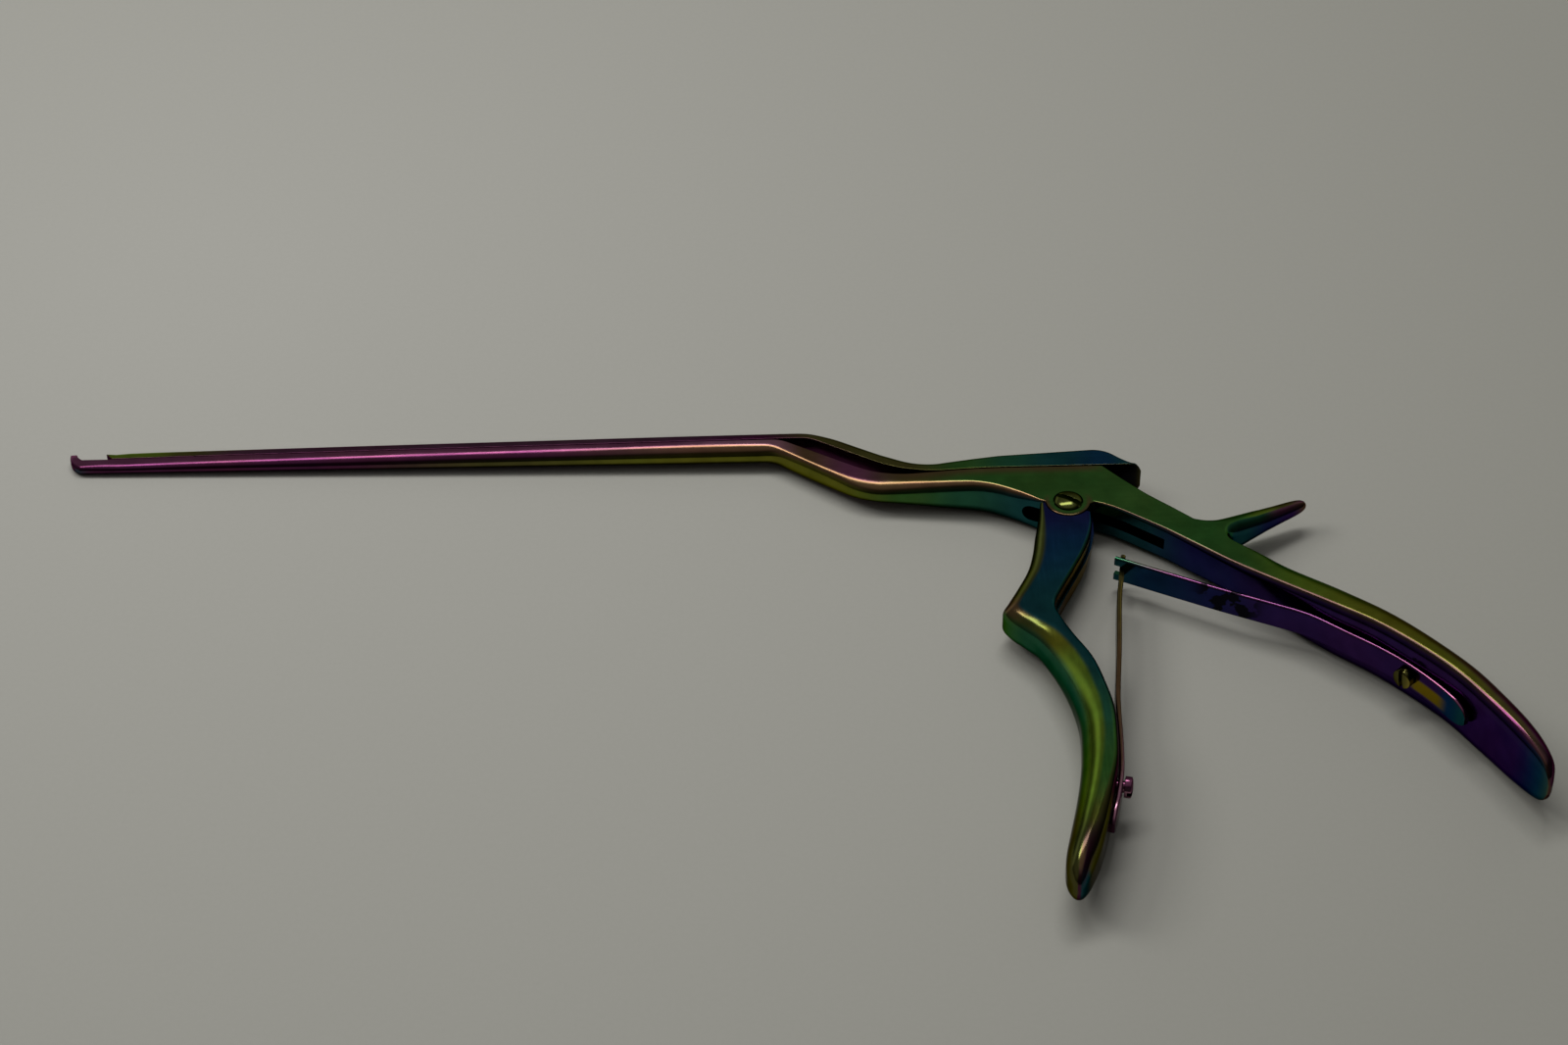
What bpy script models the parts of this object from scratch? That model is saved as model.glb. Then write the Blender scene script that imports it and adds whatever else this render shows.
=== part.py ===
# Kerrison rongeur, bayonet pattern, lying on its side with jaw and handles open.
#
# Drawing frame, in millimetres: the pivot's axis is x = y = 0, the jaw points
# to -X, the sliding upper shaft lies on the +Y side of the lower shaft, and Z
# is the instrument's width, with z = 0 in its middle plane.
import math

import bmesh
import bpy
from mathutils import Matrix, Vector

MM = 0.001

# Jaw and shafts
REACH = 218.8            # pivot axis to the top of the footplate
BITE_WIDTH = 2.2         # width of the jaw
FRONT_PLANE = 25.1       # where slider and lower shaft meet, along the front shaft
REAR_PLANE = 11.6        # the same plane along the body
BEND_START = 61.6        # pivot axis to the upper corner of the bayonet bend
BEND_SLOPE = 31.2        # degrees
SHAFT_WIDTH = 5.0        # front shaft's width at the bayonet bend
FOOTPLATE_HEIGHT = 1.8
JAW_OPENING = 4.4        # footplate's root to the slider's front end

# Body, pivot and handles
BODY_WIDTH = 8.5
LOBE_RADIUS = 4.7
HANDLE_DROP = 109.4      # pivot axis to the front handle's end, across the shaft
REAR_HANDLE_WIDTH = 15.0
FRONT_HANDLE_WIDTH = 13.0
SLOT_WIDTH = 3.6         # slot that the lever passes through
LEVER_WIDTH = 3.0        # lever's thickness, along Z
ARM_WIDTH = 5.6          # lever's width in the drawing plane
SCREW_HEAD = 5.9         # pivot screw's head diameter
SCREW_SHANK = 4.0
HEAD_RISE = 0.9          # head's dome above the flank

# Linkage
PIN_LIFT = 1.6           # drive pin's axis above the joint plane
PIN_DIAMETER = 2.4
TRAVEL = 6.4             # slider's stroke
CLEARANCE = 0.3

# Leaf springs
LEAF = 0.9               # thickness
REAR_LEAF_WIDTH = 6.2
FRONT_LEAF_WIDTH = 6.0
PRONG_GAP = 2.4
SPRING_HEAD = 4.3        # diameter of both spring screws' heads

HALF_BODY = BODY_WIDTH / 2
HANDLE_GROWTH = HANDLE_DROP / 109.4
PIN_HEIGHT = REAR_PLANE + PIN_LIFT
ARM_TILT = math.atan(TRAVEL / 2 / PIN_HEIGHT)
PIN_X = TRAVEL / 2
PIN_HALF_LENGTH = HALF_BODY - 0.85
ARM_TOP = 1.6            # lever's end above the drive pin's axis
BEND_RUN = (FRONT_PLANE - REAR_PLANE) / math.tan(math.radians(BEND_SLOPE))
BEND_END = BEND_START - BEND_RUN
SLIDER_FRONT = REACH - 3.0 - JAW_OPENING - 0.2


def clear_scene():
    for item in list(bpy.data.objects):
        bpy.data.objects.remove(item, do_unlink=True)


def steel(name, colour, roughness):
    material = bpy.data.materials.new(name)
    material.use_nodes = True
    shader = material.node_tree.nodes["Principled BSDF"]
    shader.inputs["Base Color"].default_value = (*colour, 1.0)
    shader.inputs["Metallic"].default_value = 1.0
    shader.inputs["Roughness"].default_value = roughness
    return material


# Paths and sections

def fillet_path(corners, steps=7):
    """Corners are (x, y, radius); returns the polyline with its arcs."""
    path = [Vector(corners[0][:2])]
    for before, corner, after in zip(corners, corners[1:], corners[2:]):
        here = Vector(corner[:2])
        back = (Vector(before[:2]) - here).normalized()
        ahead = (Vector(after[:2]) - here).normalized()
        radius = corner[2]
        half = back.angle(ahead) / 2
        if radius <= 0 or half > 1.56:
            path.append(here)
            continue
        bisector = (back + ahead).normalized()
        centre = here + bisector * radius / math.sin(half)
        start = here + back * radius / math.tan(half) - centre
        sweep = start.angle_signed(here + ahead * radius / math.tan(half) - centre)
        for k in range(steps + 1):
            turn = Matrix.Rotation(-sweep * k / steps, 2)
            path.append(centre + turn @ start)
    path.append(Vector(corners[-1][:2]))
    return path


def height_at(path, x):
    for low, high in zip(path, path[1:]):
        if low.x <= x <= high.x and high.x > low.x:
            return low.y + (high.y - low.y) * (x - low.x) / (high.x - low.x)
    return path[-1].y if x > path[-1].x else path[0].y


def along(rows, spans):
    """Catmull-Rom rows between the given rows, spans to each interval."""
    out = []
    last = len(rows) - 1
    for i in range(last):
        p0 = rows[max(i - 1, 0)]
        p1 = rows[i]
        p2 = rows[i + 1]
        p3 = rows[min(i + 2, last)]
        for k in range(spans):
            t = k / spans
            out.append(tuple(
                0.5 * (2 * b + (c - a) * t + (2 * a - 5 * b + 4 * c - d) * t * t
                       + (3 * b - a - 3 * c + d) * t ** 3)
                for a, b, c, d in zip(p0, p1, p2, p3)))
    out.append(tuple(rows[last]))
    return out


def ring(station, steps=5):
    """A section between a low and a high edge point, with four elliptic corners.

    station: low x, low y, high x, high y, half width along Z, then each edge's
    corner as its depth in the drawing plane and its extent along Z.
    """
    low = Vector(station[0:2])
    high = Vector(station[2:4])
    half, low_depth, low_side, high_depth, high_side = station[4:9]
    reach = (high - low).length
    line = (high - low) / reach
    quarter = [math.pi / 2 * k / steps for k in range(steps + 1)]
    side = [(low_depth - low_depth * math.cos(a), half - low_side + low_side * math.sin(a))
            for a in quarter]
    side += [(reach - high_depth + high_depth * math.sin(a),
              half - high_side + high_side * math.cos(a)) for a in quarter]
    points = side + [(u, -v) for u, v in reversed(side)]
    return [Vector((low.x + line.x * u, low.y + line.y * u, v)) for u, v in points]


# Solids

def finish(name, mesh_builder, material=None):
    mesh = bpy.data.meshes.new(name)
    bmesh.ops.recalc_face_normals(mesh_builder, faces=mesh_builder.faces)
    mesh_builder.to_mesh(mesh)
    mesh_builder.free()
    solid = bpy.data.objects.new(name, mesh)
    bpy.context.scene.collection.objects.link(solid)
    if material:
        mesh.materials.append(material)
    return solid


def skin(name, rings, material=None):
    """Joins rings of points, each with the same count, into one closed solid."""
    build = bmesh.new()
    loops = [[build.verts.new(point * MM) for point in points] for points in rings]
    count = len(loops[0])
    for first, second in zip(loops, loops[1:]):
        for k in range(count):
            build.faces.new((first[k], first[(k + 1) % count],
                             second[(k + 1) % count], second[k]))
    build.faces.new(loops[0])
    build.faces.new(loops[-1])
    return finish(name, build, material)


def loft(name, stations, material=None, steps=5):
    return skin(name, [ring(station, steps) for station in stations], material)


def prism(name, outline, low, high, material=None):
    rings = [[Vector((x, y, z)) for x, y in outline] for z in (low, high)]
    return skin(name, rings, material)


def turned(name, profile, place, material=None, sides=32):
    """Profile rows are (radius, z) from one end to the other, on place's Z axis."""
    rings = []
    for radius, z in profile:
        rings.append([place @ Vector((radius * math.cos(2 * math.pi * k / sides),
                                      radius * math.sin(2 * math.pi * k / sides), z))
                      for k in range(sides)])
    return skin(name, rings, material)


def block(name, place, size):
    x, y, z = (value / 2 for value in size)
    outline = [(-x, -y), (x, -y), (x, y), (-x, y)]
    rings = [[place @ Vector((a, b, c)) for a, b in outline] for c in (-z, z)]
    return skin(name, rings)


def combine(target, tools, operation):
    """Applies each tool to the target with an exact Boolean and drops the tool."""
    for tool in tools:
        modifier = target.modifiers.new("cut", "BOOLEAN")
        modifier.object = tool
        modifier.operation = operation
        modifier.solver = "EXACT"
        graph = bpy.context.evaluated_depsgraph_get()
        mesh = bpy.data.meshes.new_from_object(target.evaluated_get(graph))
        target.modifiers.clear()
        old = target.data
        target.data = mesh
        bpy.data.meshes.remove(old)
        bpy.data.objects.remove(tool, do_unlink=True)
    return target


def upright(x, y):
    return Matrix.Translation((x, y, 0.0))


def facing(x, y, angle):
    """A place whose Z axis points along the angle in the drawing plane."""
    spin = Matrix.Rotation(math.radians(angle), 4, "Z") @ Matrix.Rotation(math.pi / 2, 4, "Y")
    return Matrix.Translation((x, y, 0.0)) @ spin


# Lines that slider and lower shaft share

def joint_line():
    return fillet_path([(-REACH, FRONT_PLANE, 0), (-BEND_START, FRONT_PLANE, 7.0),
                        (-BEND_END, REAR_PLANE, 26.0), (8.3, REAR_PLANE, 0)])


def slider_floor_line():
    """The joint line moved back by the stroke, so that it meets it when the jaw is shut."""
    return fillet_path([(-REACH, FRONT_PLANE, 0), (TRAVEL - BEND_START, FRONT_PLANE, 6.0),
                        (TRAVEL - BEND_END, REAR_PLANE, 30.0), (BEND_START, REAR_PLANE, 0)])


def shaft_floor_line():
    return fillet_path([(-REACH, FRONT_PLANE - 3.1, 0),
                        (-BEND_START - 1.4, FRONT_PLANE - 3.8, 6.0),
                        (-BEND_END - 4.5, REAR_PLANE - 4.2, 17.0),
                        (-17.6, REAR_PLANE - 5.9, 20.0), (-5.0, -0.3, 0)])


def half_width(x):
    """Half the width of both shafts at x."""
    rows = [(-REACH, BITE_WIDTH / 2), (-0.947 * REACH, BITE_WIDTH / 2),
            (-0.878 * REACH, 0.53 * SHAFT_WIDTH / 2), (-0.69 * REACH, 0.72 * SHAFT_WIDTH / 2),
            (-0.51 * REACH, 0.88 * SHAFT_WIDTH / 2), (-0.37 * REACH, SHAFT_WIDTH / 2),
            (-0.747 * BEND_START, 1.02 * SHAFT_WIDTH / 2),
            (-0.617 * BEND_START, 0.66 * HALF_BODY), (-0.487 * BEND_START, 0.8 * HALF_BODY),
            (-0.357 * BEND_START, 0.94 * HALF_BODY), (-0.227 * BEND_START, HALF_BODY),
            (BEND_START, HALF_BODY)]
    return height_at([Vector(row) for row in rows], x)


SHAFT_XS = [-REACH * share for share in
            (0.938, 0.878, 0.785, 0.69, 0.6, 0.51, 0.42, 0.355)]
BEND_XS = [-BEND_START * share for share in
           (1.072, 1.029, 1.0, 0.971, 0.934, 0.885, 0.836, 0.787, 0.739, 0.69, 0.641,
            0.593, 0.544, 0.495, 0.438, 0.373, 0.308, 0.244, 0.195)]


def grown(rows, points=2):
    """Rows with their leading points' x and y sized from the handles' drop."""
    return [tuple(value * HANDLE_GROWTH for value in row[:2 * points]) + tuple(row[2 * points:])
            for row in rows]


# Frame: lower shaft with footplate, body, rear handle and finger rest, one forging

def frame_stations():
    top = joint_line()
    floor = shaft_floor_line()
    jaw = BITE_WIDTH / 2
    edge = 0.12
    tip = -REACH
    plane = FRONT_PLANE
    rows = [(tip, plane + FOOTPLATE_HEIGHT - 0.1, tip + 1.4, plane + FOOTPLATE_HEIGHT,
             jaw - 0.15, edge, edge, edge, edge),
            (tip + 0.05, plane + 0.5, tip + 1.75, plane + 0.95,
             jaw, 0.4, 0.5, edge, edge),
            (tip + 0.5, plane - 1.1, tip + 2.35, plane + 0.3, jaw, 0.8, 0.8, edge, edge),
            (tip + 1.35, plane - 2.3, tip + 2.8, plane, jaw, 0.9, 0.9, edge, edge),
            (tip + 2.6, plane - 3.0, tip + 3.4, plane, jaw, 1.0, 0.95, edge, edge)]
    for x in [-0.966 * REACH] + SHAFT_XS + BEND_XS:
        half = half_width(x)
        high = height_at(top, x)
        low = height_at(floor, x)
        rows.append((x, low, x, high, half, min(half, 0.62 * (high - low)), 0.96 * half,
                     edge, edge))
    plane = REAR_PLANE
    rows += [(-10.0, 2.1, -10.0, plane, HALF_BODY, 2.6, 2.7, edge, edge),
             (-7.8, 1.1, -7.9, plane, HALF_BODY, 1.5, 1.6, edge, edge),
             (-6.0, 0.25, -6.3, plane, HALF_BODY, 0.7, 0.8, edge, edge),
             (-LOBE_RADIUS - 0.25, 0.1, -5.2, plane, HALF_BODY, 0.3, 0.3, edge, edge)]
    for k in range(8):
        angle = math.radians(183.0 + 23.2 * k)
        rows.append((LOBE_RADIUS * math.cos(angle), LOBE_RADIUS * math.sin(angle),
                     -4.2 + 1.35 * k, plane, HALF_BODY, 0.3, 0.3, edge, edge))
    rows.append((5.6, -0.45, 6.7, plane, HALF_BODY, 0.35, 0.35, edge, edge))
    rows.append((7.5, -1.3, 7.5, plane, HALF_BODY, 0.5, 0.5, edge, edge))
    handle = REAR_HANDLE_WIDTH / 2
    lower = [(9.6, -2.45, 8.3, plane, HALF_BODY, 0.6, 0.6, 0.3, 0.3),
             (12.5, -4.45, 12.4, 7.15, HALF_BODY, 0.7, 0.7, 0.6, 0.6),
             (16.5, -7.5, 17.3, 2.1, HALF_BODY, 0.8, 0.8, 0.8, 0.8),
             (20.1, -10.3, 22.4, -2.75, HALF_BODY, 0.9, 0.9, 1.0, 1.0),
             (25.0, -14.6, 28.6, -8.9, 0.6 * handle, 1.0, 1.0, 1.3, 1.3),
             (30.3, -19.3, 33.6, -13.9, 0.68 * handle, 1.1, 1.1, 2.0, 2.0),
             (40.4, -28.5, 44.8, -22.9, 0.82 * handle, 1.2, 1.2, 4.2, 3.8),
             (50.5, -37.5, 55.7, -31.1, 0.91 * handle, 1.3, 1.3, 6.0, 5.2),
             (60.6, -46.0, 66.1, -40.0, 0.97 * handle, 1.3, 1.3, 6.0, 5.9),
             (70.8, -57.4, 77.2, -53.4, handle, 1.3, 1.3, 5.6, 6.2),
             (77.0, -67.3, 83.4, -64.3, handle, 1.3, 1.3, 5.2, 6.2),
             (81.6, -75.6, 87.4, -73.4, 0.95 * handle, 1.3, 1.3, 4.4, 6.0),
             (85.0, -81.8, 88.9, -80.4, 0.78 * handle, 1.0, 1.2, 2.3, 4.6),
             (86.4, -84.5, 88.5, -83.6, 0.5 * handle, 0.5, 0.9, 1.1, 2.6),
             (87.1, -85.4, 87.7, -85.2, 0.16 * handle, 0.15, 0.3, 0.2, 0.6)]
    return rows + along(grown(lower), 2)


def finger_rest():
    """The round peg on the body's back, wider where it joins the handle."""
    start = Vector((40.1, -3.9))
    line = Vector((math.cos(math.radians(27.5)), math.sin(math.radians(27.5))))
    across = Vector((-line.y, line.x))
    rows = []
    for run, radius, half, square in [(-12.0, 2.4, 4.0, 0.7), (-9.6, 3.3, 4.0, 0.75),
                                      (-7.4, 3.5, 3.8, 0.85), (-5.2, 3.25, 3.4, 0.95),
                                      (-2.8, 2.85, 2.9, 0.97), (0.0, 2.5, 2.5, 0.97),
                                      (5.5, 2.0, 2.0, 0.97), (9.6, 1.65, 1.65, 0.97),
                                      (11.6, 1.32, 1.32, 0.97), (12.6, 0.87, 0.87, 0.97),
                                      (13.0, 0.35, 0.35, 0.97)]:
        low = start + line * run - across * radius
        high = start + line * run + across * radius
        rows.append((low.x, low.y, high.x, high.y, half, square * radius, square * half,
                     square * radius, square * half))
    return loft("finger_rest", grown(rows))


def tee_key(name, x0, x1, plane, neck, head, height, grow):
    """The slider's guide rail: a neck and a wider head below the joint plane."""
    stem = block(name, Matrix.Translation(((x0 + x1) / 2, plane - height / 2 + 0.5, 0.0)),
                 (x1 - x0 + 2 * grow, height + 1.0, neck + 2 * grow))
    foot = block(name + "_head",
                 Matrix.Translation(((x0 + x1) / 2, plane - height * 0.75, 0.0)),
                 (x1 - x0 + 2 * grow, height / 2 + 2 * grow, head + 2 * grow))
    return combine(stem, [foot], "UNION")


FRONT_KEY = (-0.7 * REACH, -0.654 * REACH, FRONT_PLANE, 0.9, 1.5, 1.3)
REAR_KEY = (-0.422 * BEND_START, -0.26 * BEND_START, REAR_PLANE, 2.2, 3.6, 2.2)


def key_slot(name, key):
    """The groove for a key, long enough for the slider's stroke."""
    x0, x1, plane, neck, head, height = key
    return tee_key(name, x0 - TRAVEL, x1, plane, neck, head, height, CLEARANCE)


def body_slot():
    lever = ARM_WIDTH / 2 / math.cos(ARM_TILT) + (REAR_PLANE + 1) * math.tan(ARM_TILT)
    opening = lever + CLEARANCE + 0.3
    outline = [(-9.7, -9.0), (-9.7, 4.6), (-opening, 8.6), (-opening, REAR_PLANE + 1),
               (opening, REAR_PLANE + 1), (opening, 8.2), (10.6, 3.2), (21.0, -6.2),
               (17.3, -10.5), (14.0, -14.0)]
    return prism("body_slot", outline, -SLOT_WIDTH / 2, SLOT_WIDTH / 2)


def screw_bore():
    head = SCREW_HEAD / 2 + CLEARANCE
    shank = SCREW_SHANK / 2 + CLEARANCE
    seat = HALF_BODY - 0.8
    return turned("screw_bore", [(shank, -HALF_BODY - 1), (shank, seat), (head, seat),
                                 (head, HALF_BODY + 1)], upright(0.0, 0.0))


# Leaf springs lie along these centre lines

REAR_LEAF_LINE = grown([(8.6, -17.1), (11.0, -18.3), (20.0, -22.9), (30.0, -27.9),
                        (40.0, -32.6), (45.0, -35.0), (48.5, -37.2), (54.0, -41.7),
                        (60.0, -46.6), (65.2, -51.7), (70.0, -57.8), (73.5, -63.5)], 1)
FRONT_LEAF_LINE = grown([(10.35, -16.35), (9.9, -19.0), (9.1, -24.3), (8.3, -29.6),
                         (6.8, -44.6), (5.3, -57.6), (4.85, -64.4), (4.75, -72.4),
                         (4.15, -79.6), (2.75, -86.9), (1.0, -92.8)], 1)
REAR_SCREW_RUN = 65.2 * HANDLE_GROWTH    # x where the rear leaf's screw goes through
FRONT_SCREW_RUN = -81.5 * HANDLE_GROWTH  # y where the front leaf's screw goes through


def offset_rows(line, spans, half_at):
    """Leaf sections: low and high edge points either side of the centre line."""
    points = [Vector(point) for point in along(line, spans)]
    rows = []
    for k, point in enumerate(points):
        ahead = points[min(k + 1, len(points) - 1)] - points[max(k - 1, 0)]
        normal = Vector((-ahead.y, ahead.x)).normalized() * LEAF / 2
        half = half_at(k / (len(points) - 1), point)
        rows.append((point.x - normal.x, point.y - normal.y, point.x + normal.x,
                     point.y + normal.y, half, 0.12, 0.12, 0.12, 0.12))
    return rows


def crossing(line, coordinate, value):
    """Point and direction of a leaf's centre line where a coordinate has a value."""
    points = [Vector(point) for point in along(line, 4)]
    for first, second in zip(points, points[1:]):
        low, high = sorted((first[coordinate], second[coordinate]))
        if low <= value <= high:
            t = (value - first[coordinate]) / (second[coordinate] - first[coordinate])
            return first.lerp(second, t), (second - first).normalized()
    return points[-1], (points[-1] - points[-2]).normalized()


def spring_place(line, coordinate, value):
    """Where a spring screw stands: on the leaf, its axis square to it, head inside."""
    point, ahead = crossing(line, coordinate, value)
    normal = Vector((-ahead.y, ahead.x))
    if normal.dot(Vector((20.0, -50.0)) - point) < 0:
        normal = -normal
    return facing(point.x, point.y, math.degrees(math.atan2(normal.y, normal.x)))


SPRING_SHANK = 2.4
SPRING_SCREW_DEPTH = 4.2
SPRING_HEAD_HEIGHT = 1.7


def spring_bore(name, line, coordinate, value):
    place = spring_place(line, coordinate, value)
    radius = SPRING_SHANK / 2 + CLEARANCE
    return turned(name, [(radius, -SPRING_SCREW_DEPTH - LEAF), (radius, LEAF + 1.0)],
                  place, sides=20)


def make_frame():
    metal = steel("coated_frame", (0.16, 0.30, 0.13), 0.27)
    frame = loft("frame", frame_stations(), metal)
    combine(frame, [finger_rest()], "UNION")
    cutters = [body_slot(), screw_bore(), key_slot("front_groove", FRONT_KEY),
               key_slot("rear_groove", REAR_KEY),
               spring_bore("rear_bore", REAR_LEAF_LINE, 0, REAR_SCREW_RUN)]
    return combine(frame, cutters, "DIFFERENCE")


# Slider: the upper shaft with its cutting edge, hump and guide rails

def slider_stations():
    under = slider_floor_line()
    top = fillet_path([(-SLIDER_FRONT, FRONT_PLANE + 1.8, 0),
                       (4.4 - SLIDER_FRONT, FRONT_PLANE + 2.4, 20.0),
                       (-0.695 * REACH, FRONT_PLANE + 2.8, 0),
                       (-BEND_START + 8.5, FRONT_PLANE + 3.0, 20.0),
                       (-BEND_END + 8.3, REAR_PLANE + 3.5, 14.0),
                       (8.9, PIN_HEIGHT + 4.6, 3.5), (15.8, PIN_HEIGHT - 1.6, 0)])
    lift = CLEARANCE
    rows = []
    front = -SLIDER_FRONT
    xs = [front + 1.0] + SHAFT_XS + BEND_XS + [-8.0, -4.0, 0.0, 3.0, 5.4, 7.4, 8.9, 10.4, 12.0]
    for x in xs:
        half = half_width(x)
        high = height_at(top, x)
        low = height_at(under, x) + lift
        flat = max(0.0, x + BEND_END)
        round_side = max(1.1, 0.92 * half - 0.11 * flat)
        depth = min(0.62 * (high - low), round_side)
        rows.append((x, low, x, high, half, 0.12, 0.12, depth, round_side))
    slope = math.tan(math.radians(22.0))
    first = rows[0]
    rise = first[3] - first[1]
    rows.insert(0, (front + rise * slope, first[1], front, FRONT_PLANE + 1.8,
                    BITE_WIDTH / 2, 0.1, 0.1, 0.3, 0.5))
    plane = REAR_PLANE + lift
    rows += [(13.6, plane, 13.4, height_at(top, 13.4), HALF_BODY, 0.12, 0.12, 0.9, 1.1),
             (15.2, plane, 14.5, height_at(top, 14.5), HALF_BODY - 0.1, 0.12, 0.12, 0.6, 0.9),
             (16.3, plane, 15.8, plane + 1.0, HALF_BODY - 0.7, 0.12, 0.12, 0.3, 0.8),
             (17.0, plane + 0.05, 16.7, plane + 0.5, HALF_BODY - 2.0, 0.1, 0.3, 0.1, 0.4)]
    return rows


def lever_pocket():
    half = ARM_WIDTH / 2 / math.cos(ARM_TILT)
    half += (PIN_LIFT + 1.8) * math.tan(ARM_TILT) + CLEARANCE
    low = REAR_PLANE - 1.0
    high = PIN_HEIGHT + ARM_TOP + CLEARANCE + 0.15
    return block("lever_pocket", Matrix.Translation((PIN_X, (low + high) / 2, 0.0)),
                 (2 * half, high - low, SLOT_WIDTH))


def make_slider():
    metal = steel("coated_slider", (0.20, 0.12, 0.22), 0.27)
    slider = loft("slider", slider_stations(), metal)
    keys = []
    for name, key in (("front_key", FRONT_KEY), ("rear_key", REAR_KEY)):
        x0, x1, plane, neck, head, height = key
        keys.append(tee_key(name, x0, x1, plane, neck, head, height, 0.0))
    combine(slider, keys, "UNION")
    radius = PIN_DIAMETER / 2 + CLEARANCE
    deep = PIN_HALF_LENGTH + CLEARANCE
    pin_bore = turned("pin_bore", [(radius, -deep), (radius, deep)],
                      upright(PIN_X, PIN_HEIGHT), sides=24)
    cup = turned("cup", [(0.62, -2.0), (0.62, 0.45), (0.3, 0.8)],
                 Matrix.Translation((-SLIDER_FRONT, FRONT_PLANE + 0.95, 0.0))
                 @ Matrix.Rotation(math.pi / 2, 4, "Y"), sides=16)
    return combine(slider, [lever_pocket(), pin_bore, cup], "DIFFERENCE")


def make_drive_pin():
    metal = steel("bright_steel", (0.55, 0.55, 0.56), 0.3)
    radius = PIN_DIAMETER / 2
    end = PIN_HALF_LENGTH
    return turned("drive_pin", [(radius - 0.2, -end), (radius, 0.2 - end), (radius, end - 0.2),
                                (radius - 0.2, end)], upright(PIN_X, PIN_HEIGHT), metal, 24)


# Front handle: grip, elbow, flank and the lever that drives the slider

def front_flank():
    wide = FRONT_HANDLE_WIDTH / 2
    rows = [(-6.0, -0.15, 4.5, -3.7, HALF_BODY, 0.5, 0.5, 0.4, 0.4),
            (-6.9, -5.2, 4.5, -7.2, HALF_BODY, 1.3, 1.2, 0.7, 0.6),
            (-7.9, -10.3, 3.5, -11.9, HALF_BODY, 1.5, 1.3, 0.8, 0.7),
            (-8.8, -15.5, 1.8, -16.5, HALF_BODY, 1.5, 1.3, 0.8, 0.7),
            (-10.2, -20.6, -0.4, -21.2, HALF_BODY, 1.6, 1.4, 0.8, 0.7),
            (-12.6, -25.8, -2.9, -26.3, HALF_BODY, 1.7, 1.5, 0.8, 0.7),
            (-15.1, -30.5, -5.0, -31.0, HALF_BODY + 0.1, 1.8, 1.7, 0.8, 0.7),
            (-16.3, -33.0, -5.2, -33.6, HALF_BODY + 0.25, 1.9, 1.9, 0.8, 0.7),
            (-15.1, -35.7, -4.4, -36.2, HALF_BODY + 0.35, 2.2, 2.3, 0.8, 0.7),
            (-12.5, -38.7, -3.4, -38.9, 0.74 * wide, 2.8, 3.0, 0.8, 0.8),
            (-9.6, -42.3, -2.1, -42.1, 0.79 * wide, 3.8, 4.2, 0.9, 0.9),
            (-6.4, -49.6, 1.0, -49.1, 0.85 * wide, 5.0, 4.9, 1.0, 1.0),
            (-4.3, -56.8, 2.8, -56.6, 0.9 * wide, 5.2, 5.3, 1.0, 1.0),
            (-3.1, -65.0, 3.95, -64.5, 0.95 * wide, 5.2, 5.7, 1.0, 1.0),
            (-3.4, -73.3, 3.8, -72.6, 0.98 * wide, 5.1, 5.9, 1.0, 1.0),
            (-4.3, -80.5, 3.2, -79.7, wide, 5.0, 6.0, 1.0, 1.0),
            (-5.7, -87.8, 1.75, -86.8, wide, 4.8, 6.0, 1.0, 1.0),
            (-7.4, -95.0, 0.1, -93.8, 0.98 * wide, 4.4, 5.8, 1.0, 1.1),
            (-8.8, -101.3, -1.7, -100.1, 0.9 * wide, 3.6, 5.0, 0.9, 1.2),
            (-9.1, -105.6, -3.6, -104.9, 0.72 * wide, 2.6, 3.8, 0.8, 1.4),
            (-8.4, -108.1, -5.0, -107.8, 0.46 * wide, 1.4, 2.2, 0.7, 1.3),
            (-7.6, -109.1, -5.9, -109.0, 0.24 * wide, 0.6, 1.0, 0.4, 0.8),
            (-7.0, -109.4, -6.5, -109.4, 0.1 * wide, 0.15, 0.3, 0.15, 0.3)]
    return loft("front_handle", along(grown(rows), 2))


def lobe_cutters():
    """Clear the body's cheeks either side of the lever."""
    radius = LOBE_RADIUS + CLEARANCE
    deep = LEVER_WIDTH / 2
    rows = [(deep, HALF_BODY + 1.0), (-HALF_BODY - 1.0, -deep)]
    return [turned("lobe_cut", [(radius, low), (radius, high)], upright(0, 0), sides=64)
            for low, high in rows]


def lever_plate():
    """The lever: arm with its open slot, boss on the pivot, and the rib down the back."""
    arm = Vector((math.sin(ARM_TILT), math.cos(ARM_TILT)))
    right = Vector((arm.y, -arm.x))
    half = ARM_WIDTH / 2
    top = PIN_HEIGHT + ARM_TOP
    corners = [(-half, 5.4), (-half, top - 1.0), (-half + 1.0, top), (half - 1.0, top),
               (half, top - 1.0), (half, 5.0)]
    outline = [arm * v + right * u for u, v in corners]
    outline += [Vector(point) * HANDLE_GROWTH for point in
                [(4.9, 0.6), (5.2, -2.0), (5.15, -4.0), (5.0, -7.4), (4.0, -12.1), (2.3, -16.7),
                 (0.1, -21.4), (-2.4, -26.5), (-4.5, -31.1), (-4.7, -33.6), (-5.5, -36.0),
                 (-10.0, -36.0), (-10.6, -30.0), (-7.4, -20.6), (-6.3, -10.3), (-5.6, -5.2),
                 (-5.1, -1.0), (-4.9, 1.2)]]
    outline.reverse()
    plate = prism("lever_plate", outline, -LEVER_WIDTH / 2, LEVER_WIDTH / 2)
    turn = Matrix.Rotation(-ARM_TILT, 4, "Z")
    gap = PIN_DIAMETER + 2 * CLEARANCE
    slot = block("pin_slot", turn @ Matrix.Translation((0.0, PIN_HEIGHT + 1.3, 0.0)),
                 (gap, 6.4, 10.0))
    return combine(plate, [slot], "DIFFERENCE")


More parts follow.
